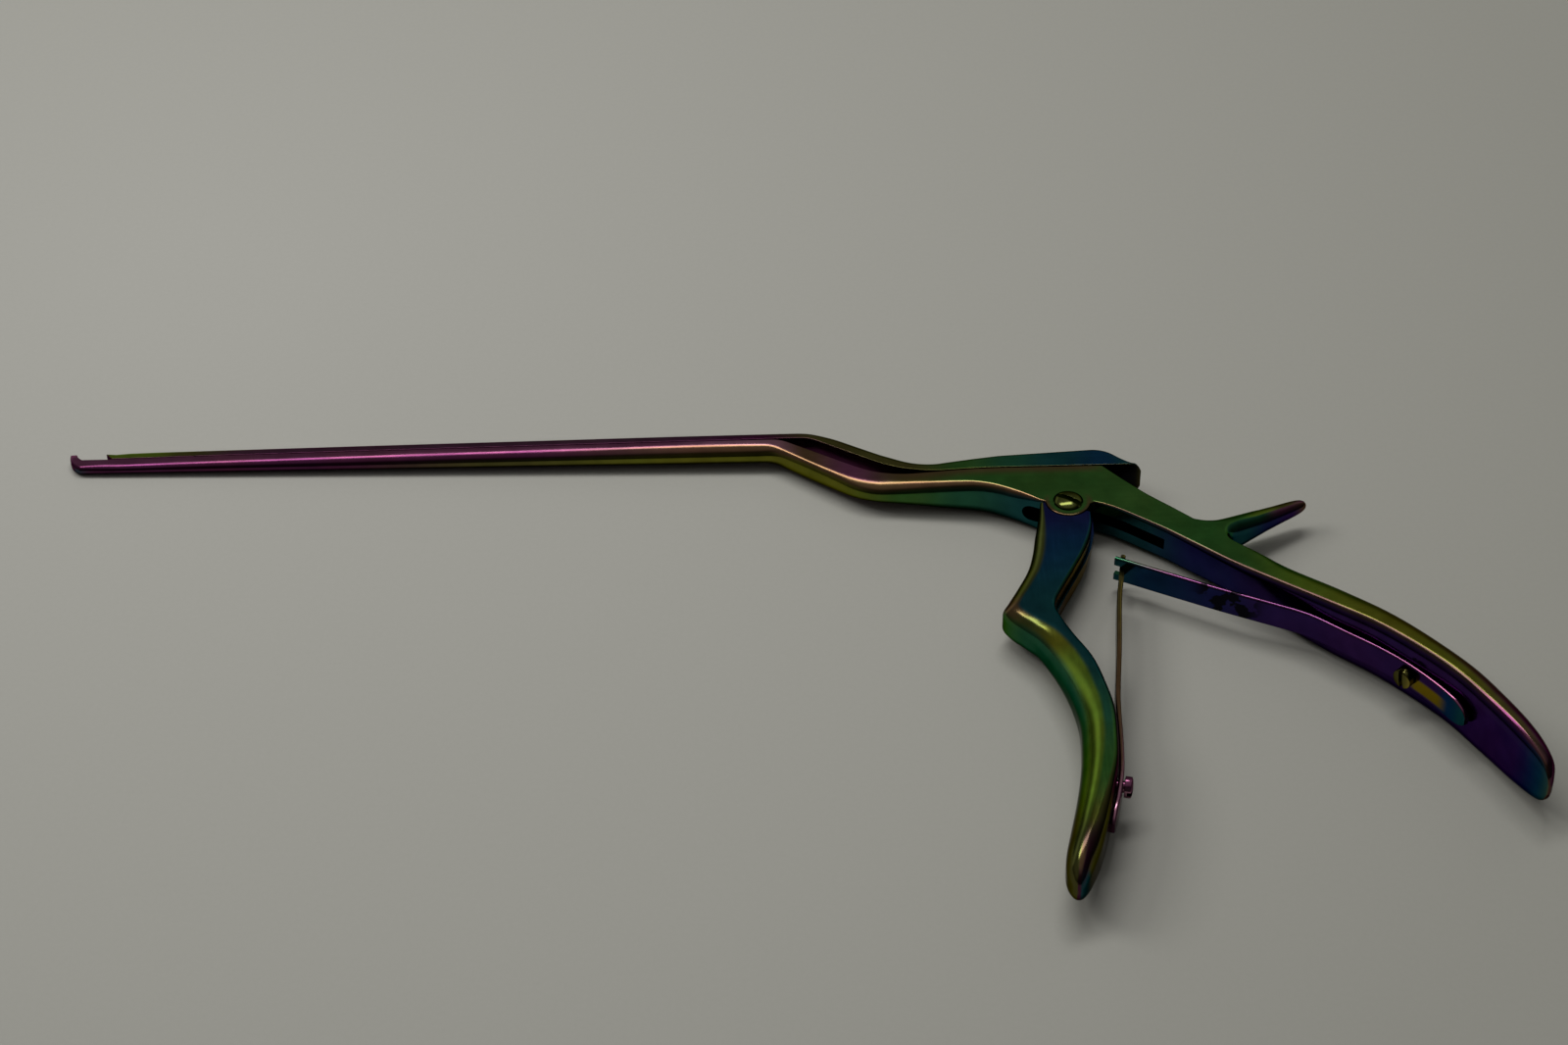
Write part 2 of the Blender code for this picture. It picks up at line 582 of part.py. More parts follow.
def make_front_handle():
    metal = steel("coated_handle", (0.08, 0.26, 0.26), 0.27)
    handle = front_flank()
    combine(handle, lobe_cutters(), "DIFFERENCE")
    combine(handle, [lever_plate()], "UNION")
    bore = turned("lever_bore", [(SCREW_SHANK / 2 + CLEARANCE, -6.0),
                                 (SCREW_SHANK / 2 + CLEARANCE, 6.0)], upright(0, 0))
    screw = spring_bore("front_bore", FRONT_LEAF_LINE, 1, FRONT_SCREW_RUN)
    combine(handle, [bore, screw], "DIFFERENCE")
    handle.data.materials.clear()
    handle.data.materials.append(metal)
    return handle


# Screws

def screw(name, metal, place, head, head_low, side, dome, shank, tail, slot_angle):
    """A slotted screw: shank from tail to head_low, cylindrical side, then a dome."""
    rings = [(shank / 2 - 0.2, tail), (shank / 2, tail + 0.2), (shank / 2, head_low),
             (head / 2, head_low), (head / 2, head_low + side)]
    for k in range(1, 5):
        angle = math.pi / 2 * k / 5
        rings.append((head / 2 * math.cos(angle), head_low + side + dome * math.sin(angle)))
    body = turned(name, rings, place, metal)
    crown = head_low + side + dome
    cut = block("driver_slot", place @ Matrix.Rotation(math.radians(slot_angle), 4, "Z")
                @ Matrix.Translation((0.0, 0.0, crown)), (head + 2, 0.19 * head, 2.0 * side))
    return combine(body, [cut], "DIFFERENCE")


def make_pivot_screw():
    metal = steel("coated_screw", (0.35, 0.38, 0.12), 0.25)
    low = HALF_BODY - 0.8 + CLEARANCE
    side = 0.75
    return screw("pivot_screw", metal, upright(0.0, 0.0), SCREW_HEAD, low, side,
                 HALF_BODY + HEAD_RISE - low - side, SCREW_SHANK, -HALF_BODY + 0.15, -35.0)


def make_spring_screw(name, colour, line, coordinate, value, angle):
    metal = steel("coated_" + name, colour, 0.27)
    place = spring_place(line, coordinate, value)
    low = LEAF / 2 + CLEARANCE
    return screw(name, metal, place, SPRING_HEAD, low, 0.75 * SPRING_HEAD_HEIGHT,
                 0.25 * SPRING_HEAD_HEIGHT, SPRING_SHANK, -SPRING_SCREW_DEPTH, angle)


# Leaf springs, hooked together at their free ends

def make_rear_spring():
    metal = steel("coated_rear_spring", (0.03, 0.08, 0.30), 0.25)
    wide = REAR_LEAF_WIDTH / 2

    def half_at(run, point):
        return wide * (1.0 if run < 0.9 else 1.0 - 3.2 * (run - 0.9))
    spring = loft("rear_spring", offset_rows(REAR_LEAF_LINE, 2, half_at), metal, 1)
    tip = Vector(REAR_LEAF_LINE[0])
    ahead = (Vector(REAR_LEAF_LINE[1]) - tip).normalized()
    middle = tip + ahead * 1.2
    turn = Matrix.Rotation(math.atan2(ahead.y, ahead.x), 4, "Z")
    fork = block("fork_gap", Matrix.Translation((middle.x, middle.y, 0.0)) @ turn,
                 (6.4, 4.0, PRONG_GAP))
    bore = spring_bore("leaf_bore", REAR_LEAF_LINE, 0, REAR_SCREW_RUN)
    return combine(spring, [fork, bore], "DIFFERENCE")


def make_front_spring():
    metal = steel("coated_front_spring", (0.24, 0.17, 0.08), 0.25)
    wide = FRONT_LEAF_WIDTH / 2

    def half_at(run, point):
        return wide * (1.0 if run < 0.93 else 1.0 - 4.0 * (run - 0.93))
    spring = loft("front_spring", offset_rows(FRONT_LEAF_LINE, 2, half_at), metal, 1)
    head, ahead = Vector(FRONT_LEAF_LINE[0]), Vector(FRONT_LEAF_LINE[2])
    line = (ahead - head).normalized()
    middle = head + line * 4.55
    turn = Matrix.Rotation(math.atan2(line.y, line.x), 4, "Z")
    cutters = []
    for side in (-1, 1):
        centre = Vector((middle.x, middle.y, side * (0.8 + 2.5)))
        cutters.append(block("neck_cut", Matrix.Translation(centre) @ turn, (7.4, 4.0, 5.0)))
    cutters.append(spring_bore("leaf_bore", FRONT_LEAF_LINE, 1, FRONT_SCREW_RUN))
    return combine(spring, cutters, "DIFFERENCE")


# Assembly, laid on its side as it comes to rest

def support_plane(solids):
    """The plane through the lowest points of jaw tip, hump and rear handle."""
    def lowest(solid, keep, slope):
        points = [v.co for v in solid.data.vertices if keep(v.co / MM)]
        return min(points, key=lambda p: p.z - slope[0] * p.x - slope[1] * p.y)
    slope = (0.0, 0.0)
    for _ in range(4):
        tip = lowest(solids["frame"], lambda p: p.x < -0.88 * REACH, slope)
        grip = lowest(solids["frame"], lambda p: p.x > 0.4 * HANDLE_DROP, slope)
        hump = lowest(solids["slider"], lambda p: p.x > -0.3 * BEND_START, slope)
        normal = (grip - tip).cross(hump - tip)
        slope = (-normal.x / normal.z, -normal.y / normal.z)
    return normal if normal.z > 0 else -normal


def lay_down(solids):
    """Parents every solid to one place: on the floor, its box centred on the origin."""
    tilt = support_plane(solids).rotation_difference(Vector((0.0, 0.0, 1.0))).to_matrix()
    heading = math.atan2((tilt @ Vector((1.0, 0.0, 0.0))).y, (tilt @ Vector((1.0, 0.0, 0.0))).x)
    turn = Matrix.Rotation(-heading, 3, "Z") @ tilt
    points = [turn @ v.co for solid in solids.values() for v in solid.data.vertices]
    low = Vector(min(p[i] for p in points) for i in range(3))
    high = Vector(max(p[i] for p in points) for i in range(3))
    place = bpy.data.objects.new("pivot_place", None)
    bpy.context.scene.collection.objects.link(place)
    shift = Vector((-(low.x + high.x) / 2, -(low.y + high.y) / 2, -low.z))
    place.matrix_world = Matrix.Translation(shift) @ turn.to_4x4()
    for solid in solids.values():
        solid.parent = place


def build():
    clear_scene()
    solids = [make_frame(), make_slider(), make_drive_pin(), make_front_handle(),
              make_pivot_screw(), make_rear_spring(), make_front_spring(),
              make_spring_screw("rear_spring_screw", (0.30, 0.32, 0.10), REAR_LEAF_LINE, 0,
                                REAR_SCREW_RUN, 10.0),
              make_spring_screw("front_spring_screw", (0.45, 0.18, 0.22), FRONT_LEAF_LINE, 1,
                                FRONT_SCREW_RUN, 90.0)]
    lay_down({solid.name: solid for solid in solids})
    for solid in solids:
        solid.data.shade_smooth()
        solid.data.set_sharp_from_angle(angle=math.radians(35.0))


build()
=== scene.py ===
# Bayonet Kerrison rongeur with an interference-coloured finish, lying on a pale table.
import math
import bmesh
import bpy
from mathutils import Matrix, Vector


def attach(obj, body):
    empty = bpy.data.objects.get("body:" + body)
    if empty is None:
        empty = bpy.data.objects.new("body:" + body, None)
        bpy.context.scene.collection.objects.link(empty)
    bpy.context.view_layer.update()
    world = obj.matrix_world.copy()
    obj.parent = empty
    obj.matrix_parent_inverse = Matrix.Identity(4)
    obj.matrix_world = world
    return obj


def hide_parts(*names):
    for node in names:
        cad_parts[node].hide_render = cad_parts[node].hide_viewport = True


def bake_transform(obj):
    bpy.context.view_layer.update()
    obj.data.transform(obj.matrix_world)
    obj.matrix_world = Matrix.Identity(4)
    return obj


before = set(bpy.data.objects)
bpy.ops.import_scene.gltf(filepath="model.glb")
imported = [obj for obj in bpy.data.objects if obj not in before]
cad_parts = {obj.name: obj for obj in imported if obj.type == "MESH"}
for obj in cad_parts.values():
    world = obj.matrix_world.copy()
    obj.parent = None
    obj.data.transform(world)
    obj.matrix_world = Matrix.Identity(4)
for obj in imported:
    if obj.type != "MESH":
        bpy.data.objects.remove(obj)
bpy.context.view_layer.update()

# Drawing coordinates are millimetres from the pivot: the jaw points to -X, the slider is on
# the +Y side of the lower shaft, and Z is the instrument's width. This lays the drawing down.
drawingPlace = Matrix(((0.999909, 0.000464, -0.013515, 0.064954),
                       (0.0, 0.999412, 0.0343, 0.040641),
                       (0.013523, -0.034297, 0.99932, 0.004934),
                       (0.0, 0.0, 0.0, 1.0)))


# Paths and sections

def filletPath(corners, steps=14):
    path = [Vector(corners[0][:2])]
    for before, corner, after in zip(corners, corners[1:], corners[2:]):
        here = Vector(corner[:2])
        back = (Vector(before[:2]) - here).normalized()
        ahead = (Vector(after[:2]) - here).normalized()
        radius = corner[2]
        half = back.angle(ahead) / 2
        if radius <= 0 or half > 1.56:
            path.append(here)
            continue
        centre = here + (back + ahead).normalized() * radius / math.sin(half)
        start = here + back * radius / math.tan(half) - centre
        sweep = start.angle_signed(here + ahead * radius / math.tan(half) - centre)
        for k in range(steps + 1):
            path.append(centre + Matrix.Rotation(-sweep * k / steps, 2) @ start)
    path.append(Vector(corners[-1][:2]))
    return path


def heightAt(path, x):
    for low, high in zip(path, path[1:]):
        if low.x <= x <= high.x and high.x > low.x:
            return low.y + (high.y - low.y) * (x - low.x) / (high.x - low.x)
    return path[-1].y if x > path[-1].x else path[0].y


def between(rows, spans):
    # Smooth rows through the given ones.
    out = []
    last = len(rows) - 1
    for i in range(last):
        p0, p1 = rows[max(i - 1, 0)], rows[i]
        p2, p3 = rows[i + 1], rows[min(i + 2, last)]
        for k in range(spans):
            t = k / spans
            out.append(tuple(0.5 * (2 * b + (c - a) * t + (2 * a - 5 * b + 4 * c - d) * t * t
                                    + (3 * b - a - 3 * c + d) * t ** 3)
                             for a, b, c, d in zip(p0, p1, p2, p3)))
    out.append(tuple(rows[last]))
    return out


def section(row, steps):
    # Ring between a low and a high edge point: half width, then each edge's corner.
    low, high = Vector(row[0:2]), Vector(row[2:4])
    half, lowDepth, lowSide, highDepth, highSide = row[4:9]
    reach = (high - low).length
    line = (high - low) / reach
    turn = [math.pi / 2 * k / steps for k in range(steps + 1)]
    side = [(lowDepth - lowDepth * math.cos(a), half - lowSide + lowSide * math.sin(a))
            for a in turn]
    side += [(reach - highDepth + highDepth * math.sin(a),
              half - highSide + highSide * math.cos(a)) for a in turn]
    return [Vector((low.x + line.x * u, low.y + line.y * u, v))
            for u, v in side + [(u, -v) for u, v in reversed(side)]]


def skinRings(name, rings):
    build = bmesh.new()
    loops = [[build.verts.new(point * 0.001) for point in ring] for ring in rings]
    count = len(loops[0])
    for first, second in zip(loops, loops[1:]):
        for k in range(count):
            build.faces.new((first[k], first[(k + 1) % count],
                             second[(k + 1) % count], second[k]))
    build.faces.new(loops[0])
    build.faces.new(loops[-1])
    bmesh.ops.recalc_face_normals(build, faces=build.faces)
    mesh = bpy.data.meshes.new(name)
    build.to_mesh(mesh)
    build.free()
    solid = bpy.data.objects.new(name, mesh)
    bpy.context.scene.collection.objects.link(solid)
    return solid


def loft(name, rows, steps=9):
    return skinRings(name, [section(row, steps) for row in rows])


def prism(name, outline, low, high):
    return skinRings(name, [[Vector((x, y, z)) for x, y in outline] for z in (low, high)])


def turned(name, profile, place, sides=64):
    rings = []
    for radius, z in profile:
        rings.append([place @ Vector((radius * math.cos(2 * math.pi * k / sides),
                                      radius * math.sin(2 * math.pi * k / sides), z))
                      for k in range(sides)])
    return skinRings(name, rings)


def block(name, place, size):
    x, y, z = (value / 2 for value in size)
    outline = [(-x, -y), (x, -y), (x, y), (-x, y)]
    return skinRings(name, [[place @ Vector((a, b, c)) for a, b in outline] for c in (-z, z)])


def applied(solid):
    graph = bpy.context.evaluated_depsgraph_get()
    mesh = bpy.data.meshes.new_from_object(solid.evaluated_get(graph))
    solid.modifiers.clear()
    old = solid.data
    solid.data = mesh
    bpy.data.meshes.remove(old)
    return solid


def combine(target, tools, operation):
    for tool in tools:
        modifier = target.modifiers.new("cut", "BOOLEAN")
        modifier.object = tool
        modifier.operation = operation
        modifier.solver = "EXACT"
        modifier.material_mode = "TRANSFER"
        applied(target)
        bpy.data.objects.remove(tool, do_unlink=True)
    return target


def upright(x, y):
    return Matrix.Translation((x, y, 0.0))


def facing(x, y, angle):
    spin = Matrix.Rotation(math.radians(angle), 4, "Z") @ Matrix.Rotation(math.pi / 2, 4, "Y")
    return Matrix.Translation((x, y, 0.0)) @ spin


def easeEdges(solid, width):
    # Breaks the sharp cut edges by a small round, as a polisher leaves them.
    bevel = solid.modifiers.new("ease", "BEVEL")
    bevel.width = width * 0.001
    bevel.segments = 2
    bevel.limit_method = "ANGLE"
    bevel.angle_limit = math.radians(50)
    bevel.use_clamp_overlap = True
    return applied(solid)


def layDown(solid, material, body, *nodes):
    solid.data.transform(drawingPlace)
    if material:
        solid.data.materials.clear()
        solid.data.materials.append(material)
    solid.data.shade_smooth()
    solid.data.set_sharp_from_angle(angle=math.radians(38))
    even = solid.modifiers.new("even", "WEIGHTED_NORMAL")
    even.keep_sharp = True
    applied(solid)
    if body:
        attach(solid, body)
    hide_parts(*nodes)
    return solid


# Sizes that several pieces share, in millimetres

shared = {
    "reach": 218.8, "biteWidth": 2.2, "frontPlane": 25.1, "rearPlane": 11.6,
    "bendStart": 61.6, "bendSlope": 31.2, "shaftWidth": 5.0, "bodyWidth": 8.5,
    "lobeRadius": 4.7, "slotWidth": 2.8, "leverWidth": 2.2, "armWidth": 5.6,
    "screwHead": 5.9, "screwShank": 4.0, "pinLift": 1.6, "pinDiameter": 2.4,
    "travel": 6.4, "gap": 0.3, "leaf": 1.05, "jawOpening": 4.4, "armTop": 1.6,
}
reach, frontPlane, rearPlane = shared["reach"], shared["frontPlane"], shared["rearPlane"]
bendStart, halfBody, travel = shared["bendStart"], shared["bodyWidth"] / 2, shared["travel"]
gap, jawHalf = shared["gap"], shared["biteWidth"] / 2
pinHeight = rearPlane + shared["pinLift"]
armTilt = math.atan(travel / 2 / pinHeight)
bendEnd = bendStart - (frontPlane - rearPlane) / math.tan(math.radians(shared["bendSlope"]))
sliderFront = reach - 3.2 - shared["jawOpening"]

widthPath = [Vector(row[:2]) for row in between([
    (-reach - 10, jawHalf), (-reach, jawHalf), (-0.947 * reach, jawHalf),
    (-0.878 * reach, 0.53 * shared["shaftWidth"] / 2), (-0.69 * reach, 0.36 * shared["shaftWidth"]),
    (-0.51 * reach, 0.44 * shared["shaftWidth"]), (-0.37 * reach, shared["shaftWidth"] / 2),
    (-0.747 * bendStart, 0.51 * shared["shaftWidth"]), (-0.617 * bendStart, 0.66 * halfBody),
    (-0.487 * bendStart, 0.8 * halfBody), (-0.357 * bendStart, 0.94 * halfBody),
    (-0.227 * bendStart, halfBody), (0, halfBody), (bendStart, halfBody)], 6)]


def halfWidth(x):
    return min(halfBody, heightAt(widthPath, x))


def stationsAlong(first, last, step):
    count = max(1, round((last - first) / step))
    return [first + (last - first) * k / count for k in range(count)]


# Finishes

filmColours = {
    "plum": (0.085, 0.020, 0.060), "magenta": (0.190, 0.062, 0.130), "rose": (0.36, 0.17, 0.24),
    "violet": (0.040, 0.016, 0.100), "indigo": (0.016, 0.020, 0.095), "blue": (0.010, 0.044, 0.115),
    "teal": (0.014, 0.075, 0.088), "sea": (0.026, 0.120, 0.066), "green": (0.052, 0.150, 0.034),
    "leaf": (0.150, 0.240, 0.028), "olive": (0.100, 0.092, 0.028), "gold": (0.32, 0.26, 0.05),
    "lime": (0.170, 0.175, 0.020), "bronze": (0.135, 0.078, 0.042),
    "mauve": (0.100, 0.042, 0.078), "umber": (0.058, 0.034, 0.029),
    "moss": (0.066, 0.070, 0.012), "fern": (0.080, 0.095, 0.026), "orchid": (0.150, 0.050, 0.140),
    "amber": (0.250, 0.175, 0.012), "black": (0.006, 0.006, 0.008),
}
glancingTint = (0.38, 0.365, 0.345, 1.0)  # a coated edge stays dark where bare steel turns white


def socket(tree, name, kind, where="INPUT", value=None):
    item = tree.interface.new_socket(name=name, in_out=where, socket_type=kind)
    if value is not None:
        item.default_value = value
    return item


def math2(tree, operation, first, second):
    node = tree.nodes.new("ShaderNodeMath")
    node.operation = operation
    for index, value in enumerate((first, second)):
        if isinstance(value, (int, float)):
            node.inputs[index].default_value = value
        else:
            tree.links.new(value, node.inputs[index])
    return node.outputs[0]


def mapRange(tree, value, fromLow, fromHigh, toLow=0.0, toHigh=1.0, smooth=False):
    node = tree.nodes.new("ShaderNodeMapRange")
    node.interpolation_type = "SMOOTHSTEP" if smooth else "LINEAR"
    tree.links.new(value, node.inputs["Value"])
    for name, number in (("From Min", fromLow), ("From Max", fromHigh),
                         ("To Min", toLow), ("To Max", toHigh)):
        node.inputs[name].default_value = number
    return node.outputs["Result"]


def mixColour(tree, factor, first, second):
    node = tree.nodes.new("ShaderNodeMix")
    node.data_type = "RGBA"
    for slot, value in (("Factor_Float", factor), ("A_Color", first), ("B_Color", second)):
        target = next(item for item in node.inputs if item.identifier == slot)
        if isinstance(value, (tuple, float, int)):
            target.default_value = value
        else:
            tree.links.new(value, target)
    return next(item for item in node.outputs if item.identifier == "Result_Color")


def makeFilmSheenGroup():
    # Five colours of the coating, laid across the piece from its low edge to its back by the way
    # each surface faces: partly the coating's own colour, partly painted sheen, since the film's
    # change of hue with the angle of the light is fixed to each surface's facing.
    tree = bpy.data.node_groups.new("filmAndAngleSheen", "ShaderNodeTree")
    for name in ("Low face", "Low shoulder", "Flank", "High shoulder", "High face"):
        socket(tree, name, "NodeSocketColor")
    socket(tree, "Side", "NodeSocketFloat")
    socket(tree, "Drift", "NodeSocketFloat", value=0.12)
    socket(tree, "Colour", "NodeSocketColor", "OUTPUT")
    start = tree.nodes.new("NodeGroupInput")
    end = tree.nodes.new("NodeGroupOutput")
    place = tree.nodes.new("ShaderNodeTexCoord")
    noise = tree.nodes.new("ShaderNodeTexNoise")
    noise.inputs["Scale"].default_value = 70.0
    noise.inputs["Detail"].default_value = 3.0
    tree.links.new(place.outputs["Object"], noise.inputs["Vector"])
    wander = math2(tree, "MULTIPLY", math2(tree, "SUBTRACT", noise.outputs[0], 0.5),
                   start.outputs["Drift"])
    side = math2(tree, "ADD", start.outputs["Side"], wander)
    colour = start.outputs["Low face"]
    for name, low, high in (("Low shoulder", -0.92, -0.62), ("Flank", -0.27, -0.07),
                            ("High shoulder", 0.12, 0.42), ("High face", 0.62, 0.92)):
        colour = mixColour(tree, mapRange(tree, side, low, high, smooth=True), colour,
                           start.outputs[name])
    # a slow cloudiness in the coating's depth, then a fine mottle from the polishing
    cloud = tree.nodes.new("ShaderNodeTexNoise")
    cloud.inputs["Scale"].default_value = 260.0
    cloud.inputs["Detail"].default_value = 4.0
    tree.links.new(place.outputs["Object"], cloud.inputs["Vector"])
    shift = tree.nodes.new("ShaderNodeHueSaturation")
    tree.links.new(mapRange(tree, noise.outputs[0], 0.3, 0.7, 0.485, 0.515), shift.inputs["Hue"])
    tree.links.new(mapRange(tree, cloud.outputs[0], 0.3, 0.7, 0.86, 1.14), shift.inputs["Value"])
    tree.links.new(colour, shift.inputs["Color"])
    tree.links.new(shift.outputs[0], end.inputs["Colour"])
    return tree


def makeGrainGroup():
    # Polishing lines: a roughness that varies and a height for the bump.
    tree = bpy.data.node_groups.new("polishedGrain", "ShaderNodeTree")
    socket(tree, "Stretch", "NodeSocketVector")
    socket(tree, "Smooth", "NodeSocketFloat", value=0.2)
    socket(tree, "Rough", "NodeSocketFloat", value=0.3)
    socket(tree, "Roughness", "NodeSocketFloat", "OUTPUT")
    socket(tree, "Height", "NodeSocketFloat", "OUTPUT")
    start = tree.nodes.new("NodeGroupInput")
    end = tree.nodes.new("NodeGroupOutput")
    place = tree.nodes.new("ShaderNodeTexCoord")
    stretched = tree.nodes.new("ShaderNodeVectorMath")
    stretched.operation = "MULTIPLY"
    tree.links.new(place.outputs["Object"], stretched.inputs[0])
    tree.links.new(start.outputs["Stretch"], stretched.inputs[1])
    lines = tree.nodes.new("ShaderNodeTexNoise")
    lines.inputs["Scale"].default_value = 1.0
    lines.inputs["Detail"].default_value = 5.0
    lines.inputs["Roughness"].default_value = 0.62
    tree.links.new(stretched.outputs[0], lines.inputs["Vector"])
    smear = tree.nodes.new("ShaderNodeTexNoise")
    smear.inputs["Scale"].default_value = 120.0
    smear.inputs["Detail"].default_value = 3.0
    tree.links.new(place.outputs["Object"], smear.inputs["Vector"])
    both = math2(tree, "ADD", math2(tree, "MULTIPLY", lines.outputs[0], 0.45),
                 math2(tree, "MULTIPLY", smear.outputs[0], 0.55))
    spread = mapRange(tree, both, 0.38, 0.62)
    span = math2(tree, "SUBTRACT", start.outputs["Rough"], start.outputs["Smooth"])
    tree.links.new(math2(tree, "ADD", start.outputs["Smooth"],
                         math2(tree, "MULTIPLY", span, spread)), end.inputs["Roughness"])
    tree.links.new(lines.outputs[0], end.inputs["Height"])
    return tree


filmSheenGroup = makeFilmSheenGroup()
grainGroup = makeGrainGroup()


def colourRamp(tree, along, stops):
    ramp = tree.nodes.new("ShaderNodeValToRGB")
    elements = ramp.color_ramp.elements
    ramp.color_ramp.interpolation = "EASE"
    while len(elements) < len(stops):
        elements.new(0.5)
    low, high = stops[0][0], stops[-1][0]
    for element, (position, name) in zip(elements, stops):
        element.position = (position - low) / (high - low)
        element.color = (*filmColours[name], 1.0)
    tree.links.new(mapRange(tree, along, low, high), ramp.inputs[0])
    return ramp.outputs["Color"]


def turnRamp(tree, along, stops):
    # An angle in radians that follows stops of (mm, degrees from -90 to 180).
    ramp = tree.nodes.new("ShaderNodeValToRGB")
    elements = ramp.color_ramp.elements
    while len(elements) < len(stops):
        elements.new(0.5)
    low, high = stops[0][0], stops[-1][0]
    for element, (position, degrees) in zip(elements, stops):
        element.position = (position - low) / (high - low)
        level = (degrees + 90) / 270
        element.color = (level, level, level, 1.0)
    tree.links.new(mapRange(tree, along, low, high), ramp.inputs[0])
    return mapRange(tree, ramp.outputs["Color"], 0.0, 1.0, -math.pi / 2, math.pi)


def filmMaterial(name, axis, bands, tilt, stretch, smooth=0.13, rough=0.21, overlay=None):
    # Coated steel. Bands are rows of (place in mm, colour) from the low face to the high
    # face; axis says which drawing coordinate they run along; tilt gives, as (mm, degrees),
    # how far the direction from low to high is turned from +Y towards +X.
    material = bpy.data.materials.new(name)
    material.use_nodes = True
    tree = material.node_tree
    shader = tree.nodes["Principled BSDF"]
    shader.inputs["Metallic"].default_value = 1.0
    shader.inputs["Specular Tint"].default_value = glancingTint
    place = tree.nodes.new("ShaderNodeTexCoord")
    back = drawingPlace.inverted()
    drawing = tree.nodes.new("ShaderNodeCombineXYZ")
    for letter, row in zip("XYZ", back):
        dot = tree.nodes.new("ShaderNodeVectorMath")
        dot.operation = "DOT_PRODUCT"
        tree.links.new(place.outputs["Object"], dot.inputs[0])
        dot.inputs[1].default_value = tuple(1000 * v for v in row[:3])
        tree.links.new(math2(tree, "ADD", dot.outputs["Value"], 1000 * row[3]),
                       drawing.inputs[letter])
    parts = tree.nodes.new("ShaderNodeSeparateXYZ")
    tree.links.new(drawing.outputs[0], parts.inputs[0])
    along = parts.outputs[axis]
    normal = tree.nodes.new("ShaderNodeSeparateXYZ")
    tree.links.new(place.outputs["Normal"], normal.inputs[0])
    angle = turnRamp(tree, along, tilt)
    # side is the way the surface faces across the piece; the film colours it picks are partly
    # painted sheen, the hue change a coating shows with the angle of the light
    side = math2(tree, "ADD",
                 math2(tree, "MULTIPLY", normal.outputs["X"], math2(tree, "SINE", angle, 0.0)),
                 math2(tree, "MULTIPLY", normal.outputs["Y"], math2(tree, "COSINE", angle, 0.0)))
    film = tree.nodes.new("ShaderNodeGroup")
    film.node_tree = filmSheenGroup
    for slot, stops in bands.items():
        tree.links.new(colourRamp(tree, along, stops), film.inputs[slot])
    tree.links.new(side, film.inputs["Side"])
    film.inputs["Drift"].default_value = 0.14
    colour = film.outputs["Colour"]
    if overlay:
        colour = overlay(tree, place, parts, colour)
    tree.links.new(colour, shader.inputs["Base Color"])
    grain = tree.nodes.new("ShaderNodeGroup")
    grain.node_tree = grainGroup
    grain.inputs["Stretch"].default_value = stretch
    grain.inputs["Smooth"].default_value = smooth
    grain.inputs["Rough"].default_value = rough
    tree.links.new(grain.outputs["Roughness"], shader.inputs["Roughness"])
    bump = tree.nodes.new("ShaderNodeBump")
    bump.inputs["Strength"].default_value = 0.03
    bump.inputs["Distance"].default_value = 0.00003
    tree.links.new(grain.outputs["Height"], bump.inputs["Height"])
    tree.links.new(bump.outputs[0], shader.inputs["Normal"])
    return material


def springStainsAndGlint(tree, place, parts, colour):
    # Dark stains across the rear spring, and a painted glint beside its screw: an amber patch where
    # the bent end of the leaf shows a bright reflection.
    noise = tree.nodes.new("ShaderNodeTexNoise")
    noise.inputs["Scale"].default_value = 300.0
    noise.inputs["Detail"].default_value = 3.0
    tree.links.new(place.outputs["Object"], noise.inputs["Vector"])
    near = math2(tree, "MULTIPLY", mapRange(tree, parts.outputs["X"], 23.0, 27.0, smooth=True),
                 mapRange(tree, parts.outputs["X"], 39.0, 35.0, smooth=True))
    stain = math2(tree, "MULTIPLY", near, mapRange(tree, noise.outputs[0], 0.47, 0.51, smooth=True))
    colour = mixColour(tree, math2(tree, "MULTIPLY", stain, 0.95), colour,
                       (*filmColours["black"], 1.0))
    # painted glint: amber over part of the leaf's width where its bent end shows a bright
    # reflection
    paintedGlint = math2(tree, "MULTIPLY", mapRange(tree, parts.outputs["X"], 65.0, 66.5, smooth=True),
                  mapRange(tree, parts.outputs["X"], 71.6, 69.8, smooth=True))
    low = math2(tree, "MULTIPLY", mapRange(tree, parts.outputs["Z"], 1.3, 0.4, smooth=True),
                mapRange(tree, parts.outputs["Z"], -2.6, -1.7, smooth=True))
    return mixColour(tree, math2(tree, "MULTIPLY", paintedGlint, low), colour,
                     (*filmColours["amber"], 1.0))


def nearLobe(tree, place, parts, colour):
    # A bronze ring on the lobe round the pivot, and a bronze edge under the slider.
    flat = tree.nodes.new("ShaderNodeCombineXYZ")
    tree.links.new(parts.outputs["X"], flat.inputs["X"])
    tree.links.new(parts.outputs["Y"], flat.inputs["Y"])
    away = tree.nodes.new("ShaderNodeVectorMath")
    away.operation = "LENGTH"
    tree.links.new(flat.outputs[0], away.inputs[0])
    ring = math2(tree, "MULTIPLY", mapRange(tree, away.outputs["Value"], 3.7, 4.5, smooth=True),
                 mapRange(tree, away.outputs["Value"], 5.6, 4.7, smooth=True))
    ring = math2(tree, "MULTIPLY", ring, mapRange(tree, parts.outputs["Y"], 2.5, -0.5))
    edge = math2(tree, "MULTIPLY", mapRange(tree, parts.outputs["Y"], 8.6, 11.4, smooth=True),
                 mapRange(tree, parts.outputs["X"], 11.0, 4.0, smooth=True))
    edge = math2(tree, "MULTIPLY", edge, mapRange(tree, parts.outputs["X"], -42.0, -34.0))
    mask = math2(tree, "MULTIPLY", math2(tree, "MAXIMUM", ring, edge), 0.8)
    return mixColour(tree, mask, colour, (*filmColours["bronze"], 1.0))


